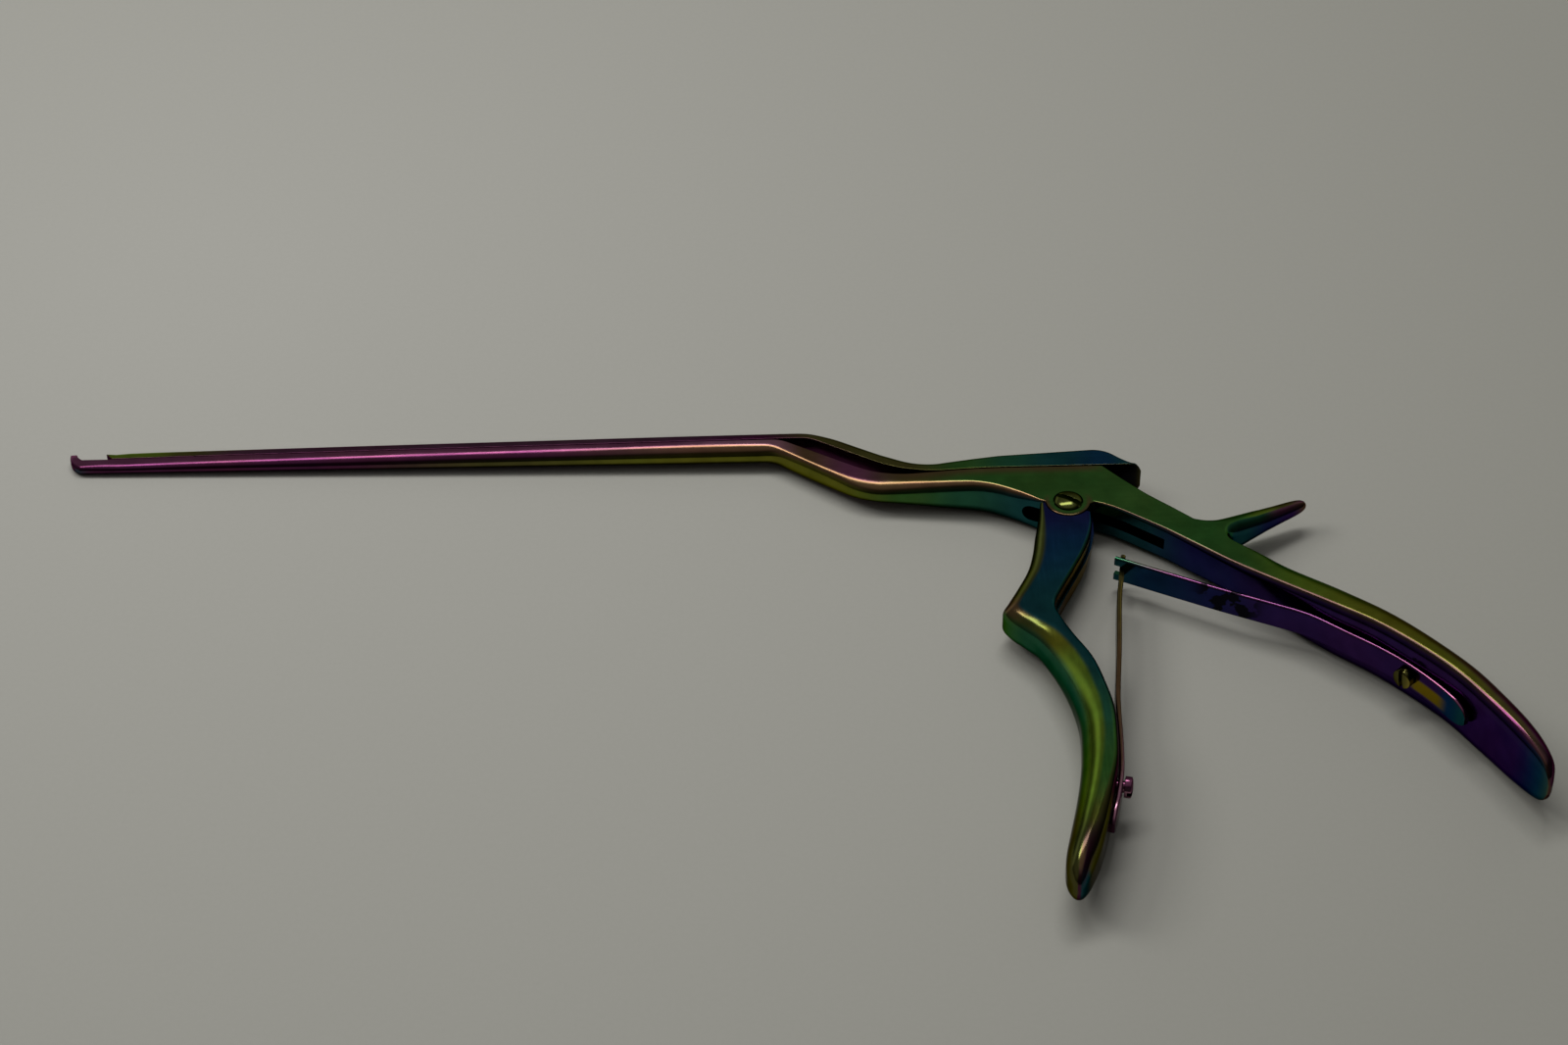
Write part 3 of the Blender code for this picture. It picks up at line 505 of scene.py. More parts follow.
frameFilm = filmMaterial("frameFilm", "X", {
    "Low face": [(-219, "teal"), (-213, "plum"), (-160, "plum"), (-125, "olive"), (-85, "lime"),
                 (-48, "lime"), (-34, "green"), (-22, "sea"), (-8, "teal"), (14, "teal"),
                 (26, "indigo"), (45, "violet"), (82.4, "violet"), (83.8, "indigo"),
                 (85.2, "blue"), (86.6, "teal"), (88, "gold")],
    "Low shoulder": [(-219, "plum"), (-120, "plum"), (-70, "bronze"), (-45, "bronze"),
                     (-26, "bronze"), (-12, "bronze"), (4, "bronze"), (14, "umber"),
                     (74, "umber"), (82, "plum"), (89, "bronze")],
    "Flank": [(-219, "magenta"), (-90, "magenta"), (-64, "rose"), (-56, "bronze"),
              (-46, "magenta"), (-34, "olive"), (-20, "green"), (4, "green"), (16, "green"),
              (34, "green"), (46, "leaf"), (58, "lime"), (74, "lime"), (82, "olive"),
              (89, "plum")],
    "High shoulder": [(-219, "rose"), (-80, "magenta"), (-40, "olive"), (0, "green"),
                      (34, "green"), (46, "green"), (64, "olive"), (89, "plum")],
    "High face": [(-219, "plum"), (-60, "olive"), (0, "olive"), (89, "olive")],
}, [(-90, 0), (-62, 6), (-57, 31), (-40, 28), (-32, 8), (-22, 12), (-12, 24), (2, 36),
    (24, 42), (60, 42), (72, 54), (89, 62)], (60, 1600, 1600), overlay=nearLobe)

spurFilm = filmMaterial("spurFilm", "X", {
    "Low face": [(26, "indigo"), (37, "teal"), (43, "indigo"), (48, "violet"), (52, "bronze")],
    "Low shoulder": [(26, "green"), (35, "sea"), (41, "sea"), (46, "magenta"), (52, "bronze")],
    "Flank": [(26, "green"), (36, "green"), (41, "leaf"), (47, "olive"), (52, "magenta")],
    "High shoulder": [(26, "green"), (38, "green"), (46, "olive"), (52, "bronze")],
    "High face": [(26, "olive"), (44, "olive"), (52, "plum")],
}, [(20, 40), (28, 20), (36, -27), (52, -27)], (90, 1600, 1600))

sliderFilm = filmMaterial("sliderFilm", "X", {
    # the low face darkens to black towards the rear end: painted shade in the narrow joint where
    # the slider lies on the body
    "Low face": [(-212, "plum"), (-60, "plum"), (10, "black"), (17, "black")],
    "Low shoulder": [(-212, "plum"), (-70, "plum"), (-30, "olive"), (17, "olive")],
    "Flank": [(-212, "leaf"), (-202, "leaf"), (-193, "olive"), (-181, "mauve"),
              (-90, "mauve"), (-66, "plum"), (-52, "olive"), (-34, "olive"), (-22, "green"),
              (-12, "sea"), (-2, "teal"), (9, "blue"), (14, "teal"), (17, "olive")],
    "High shoulder": [(-212, "leaf"), (-200, "leaf"), (-188, "olive"), (-170, "plum"),
                      (-80, "plum"),
                      (-54, "olive"), (-14, "green"), (2, "sea"), (17, "teal")],
    "High face": [(-212, "leaf"), (-200, "olive"), (-60, "olive"), (8, "olive"), (17, "plum")],
}, [(-90, 0), (-62, 4), (-56, 30), (-38, 26), (-30, 0), (8, -4), (12, 20), (17, 35)],
   (60, 1600, 1600))

handleFilm = filmMaterial("handleFilm", "Y", {
    "Low face": [(-110, "olive"), (-98, "olive"), (-80, "green"), (-60, "sea"), (-40, "sea"),
                 (-34, "green"), (-31, "rose"), (-28, "olive"), (-10, "olive"),
                 (16, "green")],
    # the lime near -44 mm is a painted highlight that carries the lit line along the grip's ridge
    # on from the elbow
    "Low shoulder": [(-110, "olive"), (-100, "fern"), (-88, "leaf"), (-66, "leaf"),
                     (-50, "leaf"), (-44, "lime"), (-38, "fern"), (-33, "bronze"), (-28, "fern"),
                     (0, "fern"), (16, "green")],
    "Flank": [(-110, "plum"), (-106, "bronze"), (-101, "umber"), (-95, "moss"),
              (-82, "green"), (-66, "sea"), (-48, "teal"), (-34, "teal"), (-14, "blue"),
              (-4, "indigo"), (16, "violet")],
    "High shoulder": [(-110, "teal"), (-106, "plum"), (-92, "olive"), (-74, "green"),
                      (-50, "teal"), (-36, "teal"), (-20, "sea"), (0, "blue"), (16, "violet")],
    "High face": [(-110, "teal"), (-108, "teal"), (-106, "olive"), (-93, "olive"), (-86, "plum"),
                  (-45, "indigo"), (-34, "bronze"), (-8, "gold"), (4, "bronze"),
                  (16, "violet")],
}, [(-106, 100), (-90, 97), (-70, 92), (-56, 80), (-46, 68), (-38, 62), (-34, 84),
    (-31, 108), (-18, 107), (0, 95)], (1600, 60, 1600))

rearSpringFilm = filmMaterial("rearSpringFilm", "X", {
    "Low face": [(8, "teal"), (14, "blue"), (28, "indigo"), (42, "violet"), (69, "violet"),
                 (71.5, "blue"), (74, "teal")],
    "Low shoulder": [(8, "sea"), (20, "orchid"), (48, "orchid"), (74, "magenta")],
    "Flank": [(8, "sea"), (16, "fern"), (22, "orchid"), (40, "orchid"), (60, "orchid"),
              (74, "magenta")],
    "High shoulder": [(8, "teal"), (40, "magenta"), (74, "magenta")],
    "High face": [(8, "indigo"), (40, "violet"), (74, "plum")],
}, [(8, 27), (45, 27), (56, 39), (70, 50)], (70, 1600, 1600), overlay=springStainsAndGlint)

frontSpringFilm = filmMaterial("frontSpringFilm", "Y", {
    "Low face": [(-94, "magenta"), (-60, "bronze"), (-16, "olive")],
    "Low shoulder": [(-94, "magenta"), (-60, "bronze"), (-16, "olive")],
    "Flank": [(-94, "rose"), (-86, "rose"), (-76, "bronze"), (-60, "bronze"), (-16, "olive")],
    "High shoulder": [(-94, "magenta"), (-84, "rose"), (-60, "bronze"), (-16, "gold")],
    "High face": [(-94, "magenta"), (-84, "magenta"), (-70, "bronze"), (-16, "bronze")],
}, [(-93, 80), (-70, 92), (-50, 97), (-16, 98)], (1600, 70, 1600))


def screwFilm(name, crown, rim):
    # Coated screw: one colour on its crown, another round its rim.
    bands = {"Low face": rim, "Low shoulder": crown, "Flank": crown,
             "High shoulder": crown, "High face": rim}
    return filmMaterial(name, "X", {slot: [(-10, colour), (90, colour)]
                                    for slot, colour in bands.items()},
                        [(0, 0), (90, 0)], (900, 900, 900), 0.1, 0.2)


pivotScrewFilm = screwFilm("pivotScrewFilm", "fern", "leaf")
rearScrewFilm = screwFilm("rearScrewFilm", "olive", "gold")
frontScrewFilm = screwFilm("frontScrewFilm", "magenta", "rose")


def barePin():
    material = bpy.data.materials.new("groundPin")
    material.use_nodes = True
    tree = material.node_tree
    shader = tree.nodes["Principled BSDF"]
    shader.inputs["Metallic"].default_value = 1.0
    grain = tree.nodes.new("ShaderNodeGroup")
    grain.node_tree = grainGroup
    grain.inputs["Stretch"].default_value = (2400, 2400, 300)
    grain.inputs["Smooth"].default_value = 0.2
    grain.inputs["Rough"].default_value = 0.36
    tree.links.new(grain.outputs["Roughness"], shader.inputs["Roughness"])
    tree.links.new(mixColour(tree, grain.outputs["Height"], (0.42, 0.41, 0.40, 1),
                             (0.62, 0.61, 0.60, 1)), shader.inputs["Base Color"])
    bump = tree.nodes.new("ShaderNodeBump")
    bump.inputs["Strength"].default_value = 0.1
    bump.inputs["Distance"].default_value = 0.00005
    tree.links.new(grain.outputs["Height"], bump.inputs["Height"])
    tree.links.new(bump.outputs[0], shader.inputs["Normal"])
    return material


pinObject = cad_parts["drive_pin"]
pinObject.data.materials.clear()
pinObject.data.materials.append(barePin())
print("finishes made")


# Frame: lower shaft with footplate, body, rear handle and finger rest

frameValues = {
    "footplateHeight": 1.8, "edge": 0.18, "rearHandleWidth": 15.0, "spurAngle": 27.5,
    "spurStart": (40.1, -3.9),
}


def jointLine():
    return filletPath([(-reach, frontPlane, 0), (-bendStart, frontPlane, 7.0),
                       (-bendEnd, rearPlane, 26.0), (8.3, rearPlane, 0)])


def shaftFloorLine():
    return filletPath([(-reach, frontPlane - 3.1, 0), (-bendStart - 1.4, frontPlane - 3.8, 6.0),
                       (-bendEnd - 4.5, rearPlane - 4.2, 17.0),
                       (-17.6, rearPlane - 5.9, 20.0), (-5.0, -0.3, 0)])


# how deep the shaft's low corner is rounded, along the shaft
cornerPath = [Vector(row) for row in between([
    (-reach, 1.6), (-0.9 * reach, 1.9), (-0.7 * reach, 2.5), (-0.45 * reach, 3.0),
    (-70.0, 3.1), (-60.0, 2.3), (-52.0, 2.2), (-43.0, 3.3), (-35.0, 3.0), (-28.0, 2.5),
    (-18.0, 2.1), (-10.0, 2.0)], 6)]


def frameRows(values):
    top, floor = jointLine(), shaftFloorLine()
    edge, tip, plane = values["edge"], -reach, frontPlane
    rise = values["footplateHeight"]
    nose = [(tip, plane + rise - 0.1, tip + 1.4, plane + rise, jawHalf - 0.15, edge, edge,
             edge, edge),
            (tip + 0.05, plane + 0.5, tip + 1.75, plane + 0.95, jawHalf, 0.4, 0.5, edge, edge),
            (tip + 0.5, plane - 1.1, tip + 2.35, plane + 0.3, jawHalf, 0.8, 0.8, edge, edge),
            (tip + 1.35, plane - 2.3, tip + 2.8, plane, jawHalf, 0.9, 0.9, edge, edge),
            (tip + 2.6, plane - 3.0, tip + 3.4, plane, jawHalf, 1.0, 0.95, edge, edge)]
    rows = between(nose, 4)
    xs = (stationsAlong(-0.966 * reach, -1.08 * bendStart, 3.0)
          + stationsAlong(-1.08 * bendStart, -0.19 * bendStart, 0.8))
    for x in xs:
        half = halfWidth(x)
        high, low = heightAt(top, x), heightAt(floor, x)
        flat = max(0.0, min(1.0, (x + 0.85 * bendStart) / (0.55 * bendStart)))
        depth = min(heightAt(cornerPath, x), 0.94 * (high - low))
        rows.append((x, low, x, high, half, depth, (0.97 - 0.3 * flat) * half, edge, edge))
    plane = rearPlane
    rows += [(-10.0, 2.1, -10.0, plane, halfBody, 1.8, 2.2, edge, edge),
             (-7.8, 1.1, -7.9, plane, halfBody, 1.3, 1.5, edge, edge),
             (-6.0, 0.25, -6.3, plane, halfBody, 0.7, 0.8, edge, edge),
             (-shared["lobeRadius"] - 0.25, 0.1, -5.2, plane, halfBody, 0.3, 0.3, edge, edge)]
    for k in range(22):
        angle = math.radians(183.0 + 162.4 * k / 21)
        rows.append((shared["lobeRadius"] * math.cos(angle), shared["lobeRadius"] * math.sin(angle),
                     -4.2 + 9.45 * k / 21, plane, halfBody, 0.3, 0.3, edge, edge))
    rows.append((5.6, -0.45, 6.7, plane, halfBody, 0.35, 0.35, edge, edge))
    rows.append((7.5, -1.3, 7.5, plane, halfBody, 0.5, 0.5, edge, edge))
    handle = values["rearHandleWidth"] / 2
    lower = [(9.6, -2.45, 8.3, plane, halfBody, 0.6, 0.6, 0.3, 0.3),
             (12.5, -4.45, 12.4, 7.15, halfBody, 0.7, 0.7, 0.6, 0.6),
             (16.5, -7.5, 17.3, 2.1, halfBody, 0.8, 0.8, 0.8, 0.8),
             (20.1, -10.3, 22.4, -2.75, halfBody, 0.9, 0.9, 0.5, 0.4),
             (25.0, -14.6, 28.6, -8.9, 0.572 * handle, 1.0, 1.0, 0.14, 0.12),
             (30.3, -19.3, 33.6, -13.9, 0.58 * handle, 1.1, 1.3, 0.14, 0.12),
             (35.0, -23.7, 38.9, -18.2, 0.645 * handle, 1.3, 1.6, 1.4, 1.0),
             (40.4, -28.5, 44.8, -22.9, 0.74 * handle, 1.4, 1.8, 3.4, 3.0),
             (50.5, -37.5, 55.7, -31.1, 0.91 * handle, 1.6, 2.3, 4.8, 5.0),
             (60.6, -46.0, 66.1, -40.0, 0.97 * handle, 1.7, 2.6, 5.4, 5.5),
             (70.8, -57.4, 77.2, -53.4, handle, 1.8, 2.9, 5.3, 5.7),
             (77.0, -67.3, 83.4, -64.3, handle, 1.8, 3.0, 5.0, 5.7),
             (81.6, -75.6, 87.4, -73.4, 0.95 * handle, 1.7, 3.0, 4.3, 5.4),
             (85.0, -81.8, 88.9, -80.4, 0.78 * handle, 1.2, 2.6, 2.4, 4.2),
             (86.4, -84.5, 88.5, -83.6, 0.5 * handle, 0.7, 1.6, 1.1, 2.6),
             (87.1, -85.4, 87.7, -85.2, 0.16 * handle, 0.2, 0.4, 0.2, 0.6)]
    return rows + between(lower, 8)


def alongPath(path, share):
    # The point at a share of a path's length.
    lengths = [(b - a).length for a, b in zip(path, path[1:])]
    rest = share * sum(lengths)
    for length, first, second in zip(lengths, path, path[1:]):
        if rest <= length:
            return first.lerp(second, rest / length)
        rest -= length
    return path[-1]


def fingerRest(values):
    # A round peg that grows out of the handle's flank with a fillet on either side.
    base = Vector(values["spurStart"])
    turn = math.radians(values["spurAngle"])
    line = Vector((math.cos(turn), math.sin(turn)))
    across = Vector((-line.y, line.x))
    upper = filletPath([(20.6, -2.4), (27.0, -7.9, 8.0), tuple(base + across * 2.44)], 20)
    lower = filletPath([(38.6, -19.0), (31.6, -11.9, 3.2), tuple(base - across * 2.44)], 20)
    rows = []
    for share, half, corner in between([(0.0, 4.2, 0.6), (0.18, 4.24, 1.0), (0.36, 4.25, 1.6),
                                        (0.52, 4.15, 2.2), (0.68, 3.85, 2.6), (0.84, 3.35, 2.55),
                                        (1.0, 2.75, 2.3)], 5):
        high, low = alongPath(upper, share), alongPath(lower, share)
        side = min(corner, 0.93 * half)
        rows.append((low.x, low.y, high.x, high.y, half, corner, side, corner, side))
    peg = [(2.0, 2.3, 2.5), (5.5, 2.0, 2.08), (9.6, 1.65, 1.68), (11.6, 1.32, 1.32),
           (12.6, 0.87, 0.87), (13.0, 0.35, 0.35)]
    for run, radius, half in between(peg, 5):
        low, high = base + line * run - across * radius, base + line * run + across * radius
        rows.append((low.x, low.y, high.x, high.y, half, 0.96 * radius, 0.96 * half,
                     0.96 * radius, 0.96 * half))
    return loft("fingerRest", rows, 12)


def teeKey(name, key, extra, grow):
    x0, x1, plane, neck, head, height = key
    x0 -= extra
    stem = block(name, Matrix.Translation(((x0 + x1) / 2, plane - height / 2 + 0.5, 0.0)),
                 (x1 - x0 + 2 * grow, height + 1.0, neck + 2 * grow))
    foot = block(name + "Head",
                 Matrix.Translation(((x0 + x1) / 2, plane - height * 0.75, 0.0)),
                 (x1 - x0 + 2 * grow, height / 2 + 2 * grow, head + 2 * grow))
    return combine(stem, [foot], "UNION")


frontKey = (-0.7 * reach, -0.654 * reach, frontPlane, 0.9, 1.5, 1.3)
rearKey = (-0.422 * bendStart, -0.26 * bendStart, rearPlane, 2.2, 3.6, 2.2)


def bodySlot():
    lever = shared["armWidth"] / 2 / math.cos(armTilt) + (rearPlane + 1) * math.tan(armTilt)
    opening = lever + gap + 0.3
    outline = [(-8.2, -9.0), (-8.2, 5.4), (-opening, 8.6), (-opening, rearPlane + 1),
               (opening, rearPlane + 1), (opening, 8.2), (10.6, 3.2), (22.2, -7.3),
               (18.5, -11.6), (15.0, -15.0)]
    slot = prism("bodySlot", outline, -shared["slotWidth"] / 2, shared["slotWidth"] / 2)
    round2 = 0.23 * shared["bodyWidth"]
    mouth = prism("slotMouth", [(-7.7, -9.0), (-7.7, 4.5), (-4.4, 6.0), (-4.4, -9.0)],
                  -round2, round2)
    end = turned("mouthEnd", [(round2, -9.0), (round2, 4.4)],
                 Matrix.Translation((-7.7, 0.0, 0.0)) @ Matrix.Rotation(-math.pi / 2, 4, "X"), 40)
    return combine(slot, [mouth, end], "UNION")


def screwBore():
    head = shared["screwHead"] / 2 + gap
    shank = shared["screwShank"] / 2 + gap
    seat = halfBody - 0.8
    return turned("screwBore", [(shank, -halfBody - 1), (shank, seat), (head, seat),
                                (head, halfBody + 1)], upright(0.0, 0.0))


springValues = {
    "rearLine": [(8.6, -17.1), (11.0, -18.3), (20.0, -22.9), (30.0, -27.9), (40.0, -32.6),
                 (45.0, -35.0), (48.5, -37.2), (54.0, -41.7), (60.0, -46.6), (65.2, -51.7),
                 (70.0, -57.8), (73.5, -63.5), (74.6, -65.5)],
    "frontLine": [(10.35, -16.35), (9.9, -19.0), (9.1, -24.3), (8.3, -29.6), (6.8, -44.6),
                  (5.3, -57.6), (4.85, -64.4), (4.5, -72.4), (3.9, -79.6), (2.5, -86.9),
                  (0.9, -92.8)],
    "rearWidth": 6.2, "frontWidth": 6.0, "prongGap": 2.4, "prongDepth": 2.3, "rearScrewX": 65.2,
    "frontScrewY": -81.5, "screwHead": 4.3, "screwShank": 2.4, "screwDepth": 4.2,
    "headHeight": 1.7,
}


def springPlace(line, coordinate, value):
    points = [Vector(point) for point in between(line, 4)]
    for first, second in zip(points, points[1:]):
        low, high = sorted((first[coordinate], second[coordinate]))
        if low <= value <= high:
            t = (value - first[coordinate]) / (second[coordinate] - first[coordinate])
            point, ahead = first.lerp(second, t), (second - first).normalized()
            break
    normal = Vector((-ahead.y, ahead.x))
    if normal.dot(Vector((20.0, -50.0)) - point) < 0:
        normal = -normal
    return facing(point.x, point.y, math.degrees(math.atan2(normal.y, normal.x)))


rearScrewPlace = springPlace(springValues["rearLine"], 0, springValues["rearScrewX"])
frontScrewPlace = springPlace(springValues["frontLine"], 1, springValues["frontScrewY"])


def springBore(place):
    radius = springValues["screwShank"] / 2 + gap
    return turned("springBore", [(radius, -springValues["screwDepth"] - shared["leaf"]),
                                 (radius, shared["leaf"] + 1.0)], place, 40)


def makeFrame(values):
    solid = loft("frameForging", frameRows(values))
    solid.data.materials.append(frameFilm)
    rest = fingerRest(values)
    rest.data.materials.append(spurFilm)
    combine(solid, [rest], "UNION")
    cutters = [bodySlot(), screwBore(), teeKey("frontGroove", frontKey, travel, gap),
               teeKey("rearGroove", rearKey, travel, gap), springBore(rearScrewPlace)]
    for cutter in cutters:
        cutter.data.materials.append(frameFilm)
    combine(solid, cutters, "DIFFERENCE")
    return layDown(solid, None, "frame", "frame")


frameForging = makeFrame(frameValues)
print("frame made:", len(frameForging.data.polygons), "faces")


# Slider: upper shaft with its cutting edge, hump and guide rails

sliderValues = {"cupRadius": 0.62, "noseAngle": 37.0, "noseHeight": 1.8, "noseBack": 0.3,
                "humpX": 8.9}


def sliderRows(values):
    under = filletPath([(-reach, frontPlane, 0), (travel - bendStart, frontPlane, 6.0),
                        (travel - bendEnd, rearPlane, 30.0), (bendStart, rearPlane, 0)])
    top = filletPath([(-sliderFront, frontPlane + values["noseHeight"], 0),
                      (4.4 - sliderFront, frontPlane + 2.4, 20.0),
                      (-0.695 * reach, frontPlane + 2.8, 0),
                      (-bendStart + 8.5, frontPlane + 3.0, 20.0),
                      (-bendEnd + 8.3, rearPlane + 3.5, 14.0),
                      (values["humpX"], pinHeight + 4.6, 6.5), (15.8, pinHeight - 1.6, 0)])
    front = values["noseBack"] - sliderFront
    xs = (stationsAlong(front + 2.2, -1.08 * bendStart, 3.0)
          + stationsAlong(-1.08 * bendStart, 13.4, 0.8))
    rows = []
    for x in xs:
        half = halfWidth(x)
        high = heightAt(top, x)
        low = heightAt(under, x) + min(gap, max(0.12, 0.12 + (x + 76.0) * 0.012))
        roundSide = max(1.1, 0.92 * half - 0.11 * max(0.0, x + bendEnd))
        rows.append((x, low, x, high, half, 0.12, 0.12, min(0.62 * (high - low), roundSide),
                     roundSide))
    rise = rows[0][3] - rows[0][1]
    slope = math.tan(math.radians(values["noseAngle"]))
    rows.insert(0, (front + rise * slope, rows[0][1], front, frontPlane + values["noseHeight"],
                    jawHalf, 0.1, 0.1, 0.3, 0.5))
    plane = rearPlane + gap
    rows += between([(13.6, plane, 13.4, heightAt(top, 13.4), halfBody, 0.12, 0.12, 0.9, 1.1),
                     (15.2, plane, 14.5, heightAt(top, 14.5), halfBody - 0.1, 0.12, 0.12, 0.6, 0.9),
                     (16.3, plane, 15.8, plane + 1.0, halfBody - 0.7, 0.12, 0.12, 0.3, 0.8),
                     (17.0, plane + 0.05, 16.7, plane + 0.5, halfBody - 2.0, 0.1, 0.3,
                      0.1, 0.4)], 4)
    return rows


def makeSlider(values):
    solid = loft("slidingShaft", sliderRows(values))
    combine(solid, [teeKey("frontRail", frontKey, 0.0, 0.0),
                    teeKey("rearRail", rearKey, 0.0, 0.0)], "UNION")
    half = shared["armWidth"] / 2 / math.cos(armTilt)
    half += (shared["pinLift"] + 1.8) * math.tan(armTilt) + gap
    low, high = rearPlane - 1.0, pinHeight + shared["armTop"] + gap + 0.15
    pocket = block("leverPocket", Matrix.Translation((travel / 2, (low + high) / 2, 0.0)),
                   (2 * half, high - low, shared["slotWidth"]))
    radius = shared["pinDiameter"] / 2 + gap
    deep = halfBody - 0.85 + gap
    bore = turned("pinBore", [(radius, -deep), (radius, deep)], upright(travel / 2, pinHeight), 32)
    front = values["noseBack"] + 0.55 - sliderFront
    cup = turned("cup", [(values["cupRadius"], -2.0), (values["cupRadius"], 0.45),
                         (0.5 * values["cupRadius"], 0.8)],
                 Matrix.Translation((front, frontPlane + 1.1, 0.0))
                 @ Matrix.Rotation(math.pi / 2, 4, "Y"), 24)
    combine(solid, [pocket, bore, cup], "DIFFERENCE")
    return layDown(solid, sliderFilm, "slider", "slider")


slidingShaft = makeSlider(sliderValues)
print("slider made:", len(slidingShaft.data.polygons), "faces")


# Front handle: grip, elbow, flank and the lever inside its slot

handleValues = {"width": 13.0, "ribSlot": 3.3, "ribSlotEnd": -31.0}


def handleRows(values):
    wide = values["width"] / 2
    return [(-6.0, -0.15, 4.5, -3.7, halfBody, 0.7, 0.6, 0.4, 0.4),
            (-6.9, -5.2, 4.5, -7.2, halfBody, 1.8, 1.5, 0.8, 0.8),
            (-7.9, -10.3, 3.5, -11.9, halfBody, 2.9, 1.8, 1.0, 1.0),
            (-8.8, -15.5, 1.8, -16.5, halfBody, 3.2, 1.9, 1.0, 1.0),
            (-10.2, -20.6, -0.4, -21.2, halfBody, 3.3, 2.0, 1.0, 1.0),
            (-12.6, -25.8, -2.9, -26.3, halfBody, 3.4, 2.1, 1.0, 1.0),
            (-15.1, -30.5, -5.0, -31.0, halfBody + 0.08, 3.5, 2.5, 1.0, 1.0),
            (-16.3, -33.0, -5.2, -33.6, halfBody + 0.18, 4.4, 2.9, 1.0, 1.0),
            (-15.1, -35.7, -4.4, -36.2, halfBody + 0.3, 5.6, 3.3, 1.1, 1.0),
            (-12.5, -38.7, -3.4, -38.9, halfBody + 0.48, 6.1, 3.7, 1.2, 1.1),
            (-9.6, -42.3, -2.1, -42.1, halfBody + 0.75, 5.7, 4.1, 1.3, 1.2),
            (-6.4, -49.6, 1.0, -49.1, 0.85 * wide, 5.4, 4.8, 1.4, 1.4),
            (-4.3, -56.8, 2.8, -56.6, 0.9 * wide, 5.2, 5.1, 1.5, 1.5),
            (-3.1, -65.0, 3.95, -64.5, 0.95 * wide, 5.1, 5.3, 1.5, 1.5),
            (-3.4, -73.3, 3.8, -72.6, 0.98 * wide, 5.0, 5.5, 1.5, 1.5),
            (-4.3, -80.5, 3.2, -79.7, wide, 4.9, 5.7, 1.6, 1.7),
            (-5.7, -87.8, 1.75, -86.8, wide, 4.7, 5.7, 1.9, 2.1),
            (-7.4, -95.0, 0.1, -93.8, 0.98 * wide, 4.4, 5.6, 2.5, 2.8),
            (-8.8, -101.3, -1.7, -100.1, 0.94 * wide, 3.8, 5.1, 3.1, 3.6),
            (-9.1, -105.6, -3.6, -104.9, 0.8 * wide, 3.0, 4.3, 2.4, 3.4),
            (-8.4, -108.1, -5.0, -107.8, 0.56 * wide, 1.8, 2.8, 1.5, 2.4),
            (-7.6, -109.1, -5.9, -109.0, 0.32 * wide, 0.8, 1.4, 0.8, 1.3),
            (-7.0, -109.4, -6.5, -109.4, 0.1 * wide, 0.15, 0.3, 0.15, 0.3)]


def leverPlate():
    arm = Vector((math.sin(armTilt), math.cos(armTilt)))
    right = Vector((arm.y, -arm.x))
    half, top = shared["armWidth"] / 2, pinHeight + shared["armTop"]
    corners = [(-half, 5.4), (-half, top - 1.0), (-half + 1.0, top), (half - 1.0, top),
               (half, top - 1.0), (half, 5.0)]
    outline = [arm * v + right * u for u, v in corners]
    outline += [Vector(point) for point in
                [(4.9, 0.6), (5.2, -2.0), (5.15, -4.0), (5.0, -7.4), (4.0, -12.1), (2.3, -16.7),
                 (0.1, -21.4), (-2.4, -26.5), (-4.5, -31.1), (-4.7, -33.6), (-5.5, -36.0),
                 (-10.0, -36.0), (-10.6, -30.0), (-7.4, -20.6), (-6.3, -10.3), (-5.6, -5.2),
                 (-5.1, -1.0), (-4.9, 1.2)]]
    outline.reverse()
    plate = prism("leverPlate", outline, -shared["leverWidth"] / 2, shared["leverWidth"] / 2)
    slot = block("pinSlot", Matrix.Rotation(-armTilt, 4, "Z")
                 @ Matrix.Translation((0.0, pinHeight + 1.3, 0.0)),
                 (shared["pinDiameter"] + 2 * gap, 6.4, 10.0))
    return combine(plate, [slot], "DIFFERENCE")


def makeHandle(values):
    solid = loft("drivenHandle", between(handleRows(values), 8), 12)
    radius, deep = shared["lobeRadius"] + gap, shared["leverWidth"] / 2
    lobes = [turned("lobeCut", [(radius, low), (radius, high)], upright(0, 0), 96)
             for low, high in ((deep, halfBody + 1.0), (-halfBody - 1.0, -deep))]
    outline = [(8.0, 0.0), (1.2, 0.0), (1.2, -7.4), (0.2, -12.1), (-1.5, -16.7), (-3.7, -21.4),
               (-6.2, -26.5), (-7.0, values["ribSlotEnd"]), (-3.0, values["ribSlotEnd"]),
               (2.0, -26.5), (6.0, -16.7), (8.0, -7.4)]
    ribSlot = prism("ribSlot", outline, -values["ribSlot"] / 2, values["ribSlot"] / 2)
    combine(solid, lobes + [ribSlot], "DIFFERENCE")
    combine(solid, [leverPlate()], "UNION")
    shank = shared["screwShank"] / 2 + gap
    combine(solid, [turned("leverBore", [(shank, -6.0), (shank, 6.0)], upright(0, 0)),
                    springBore(frontScrewPlace)], "DIFFERENCE")
    return layDown(solid, handleFilm, "front_handle", "front_handle")


drivenHandle = makeHandle(handleValues)
print("front handle made:", len(drivenHandle.data.polygons), "faces")


# Screws

def slottedScrew(name, place, head, headLow, side, dome, shank, tail, slotAngle):
    rings = [(shank / 2 - 0.2, tail), (shank / 2, tail + 0.2), (shank / 2, headLow),
             (head / 2 - 0.1, headLow), (head / 2, headLow + 0.1), (head / 2, headLow + side)]
    for k in range(1, 12):
        angle = math.pi / 2 * k / 12
        rings.append((head / 2 * math.cos(angle), headLow + side + dome * math.sin(angle)))
    solid = turned(name, rings, place, 72)
    cut = block("driverSlot", place @ Matrix.Rotation(math.radians(slotAngle), 4, "Z")
                @ Matrix.Translation((0.0, 0.0, headLow + side + dome)),
                (head + 2, 0.22 * head, 2.2))
    combine(solid, [cut], "DIFFERENCE")
    return easeEdges(solid, 0.07)


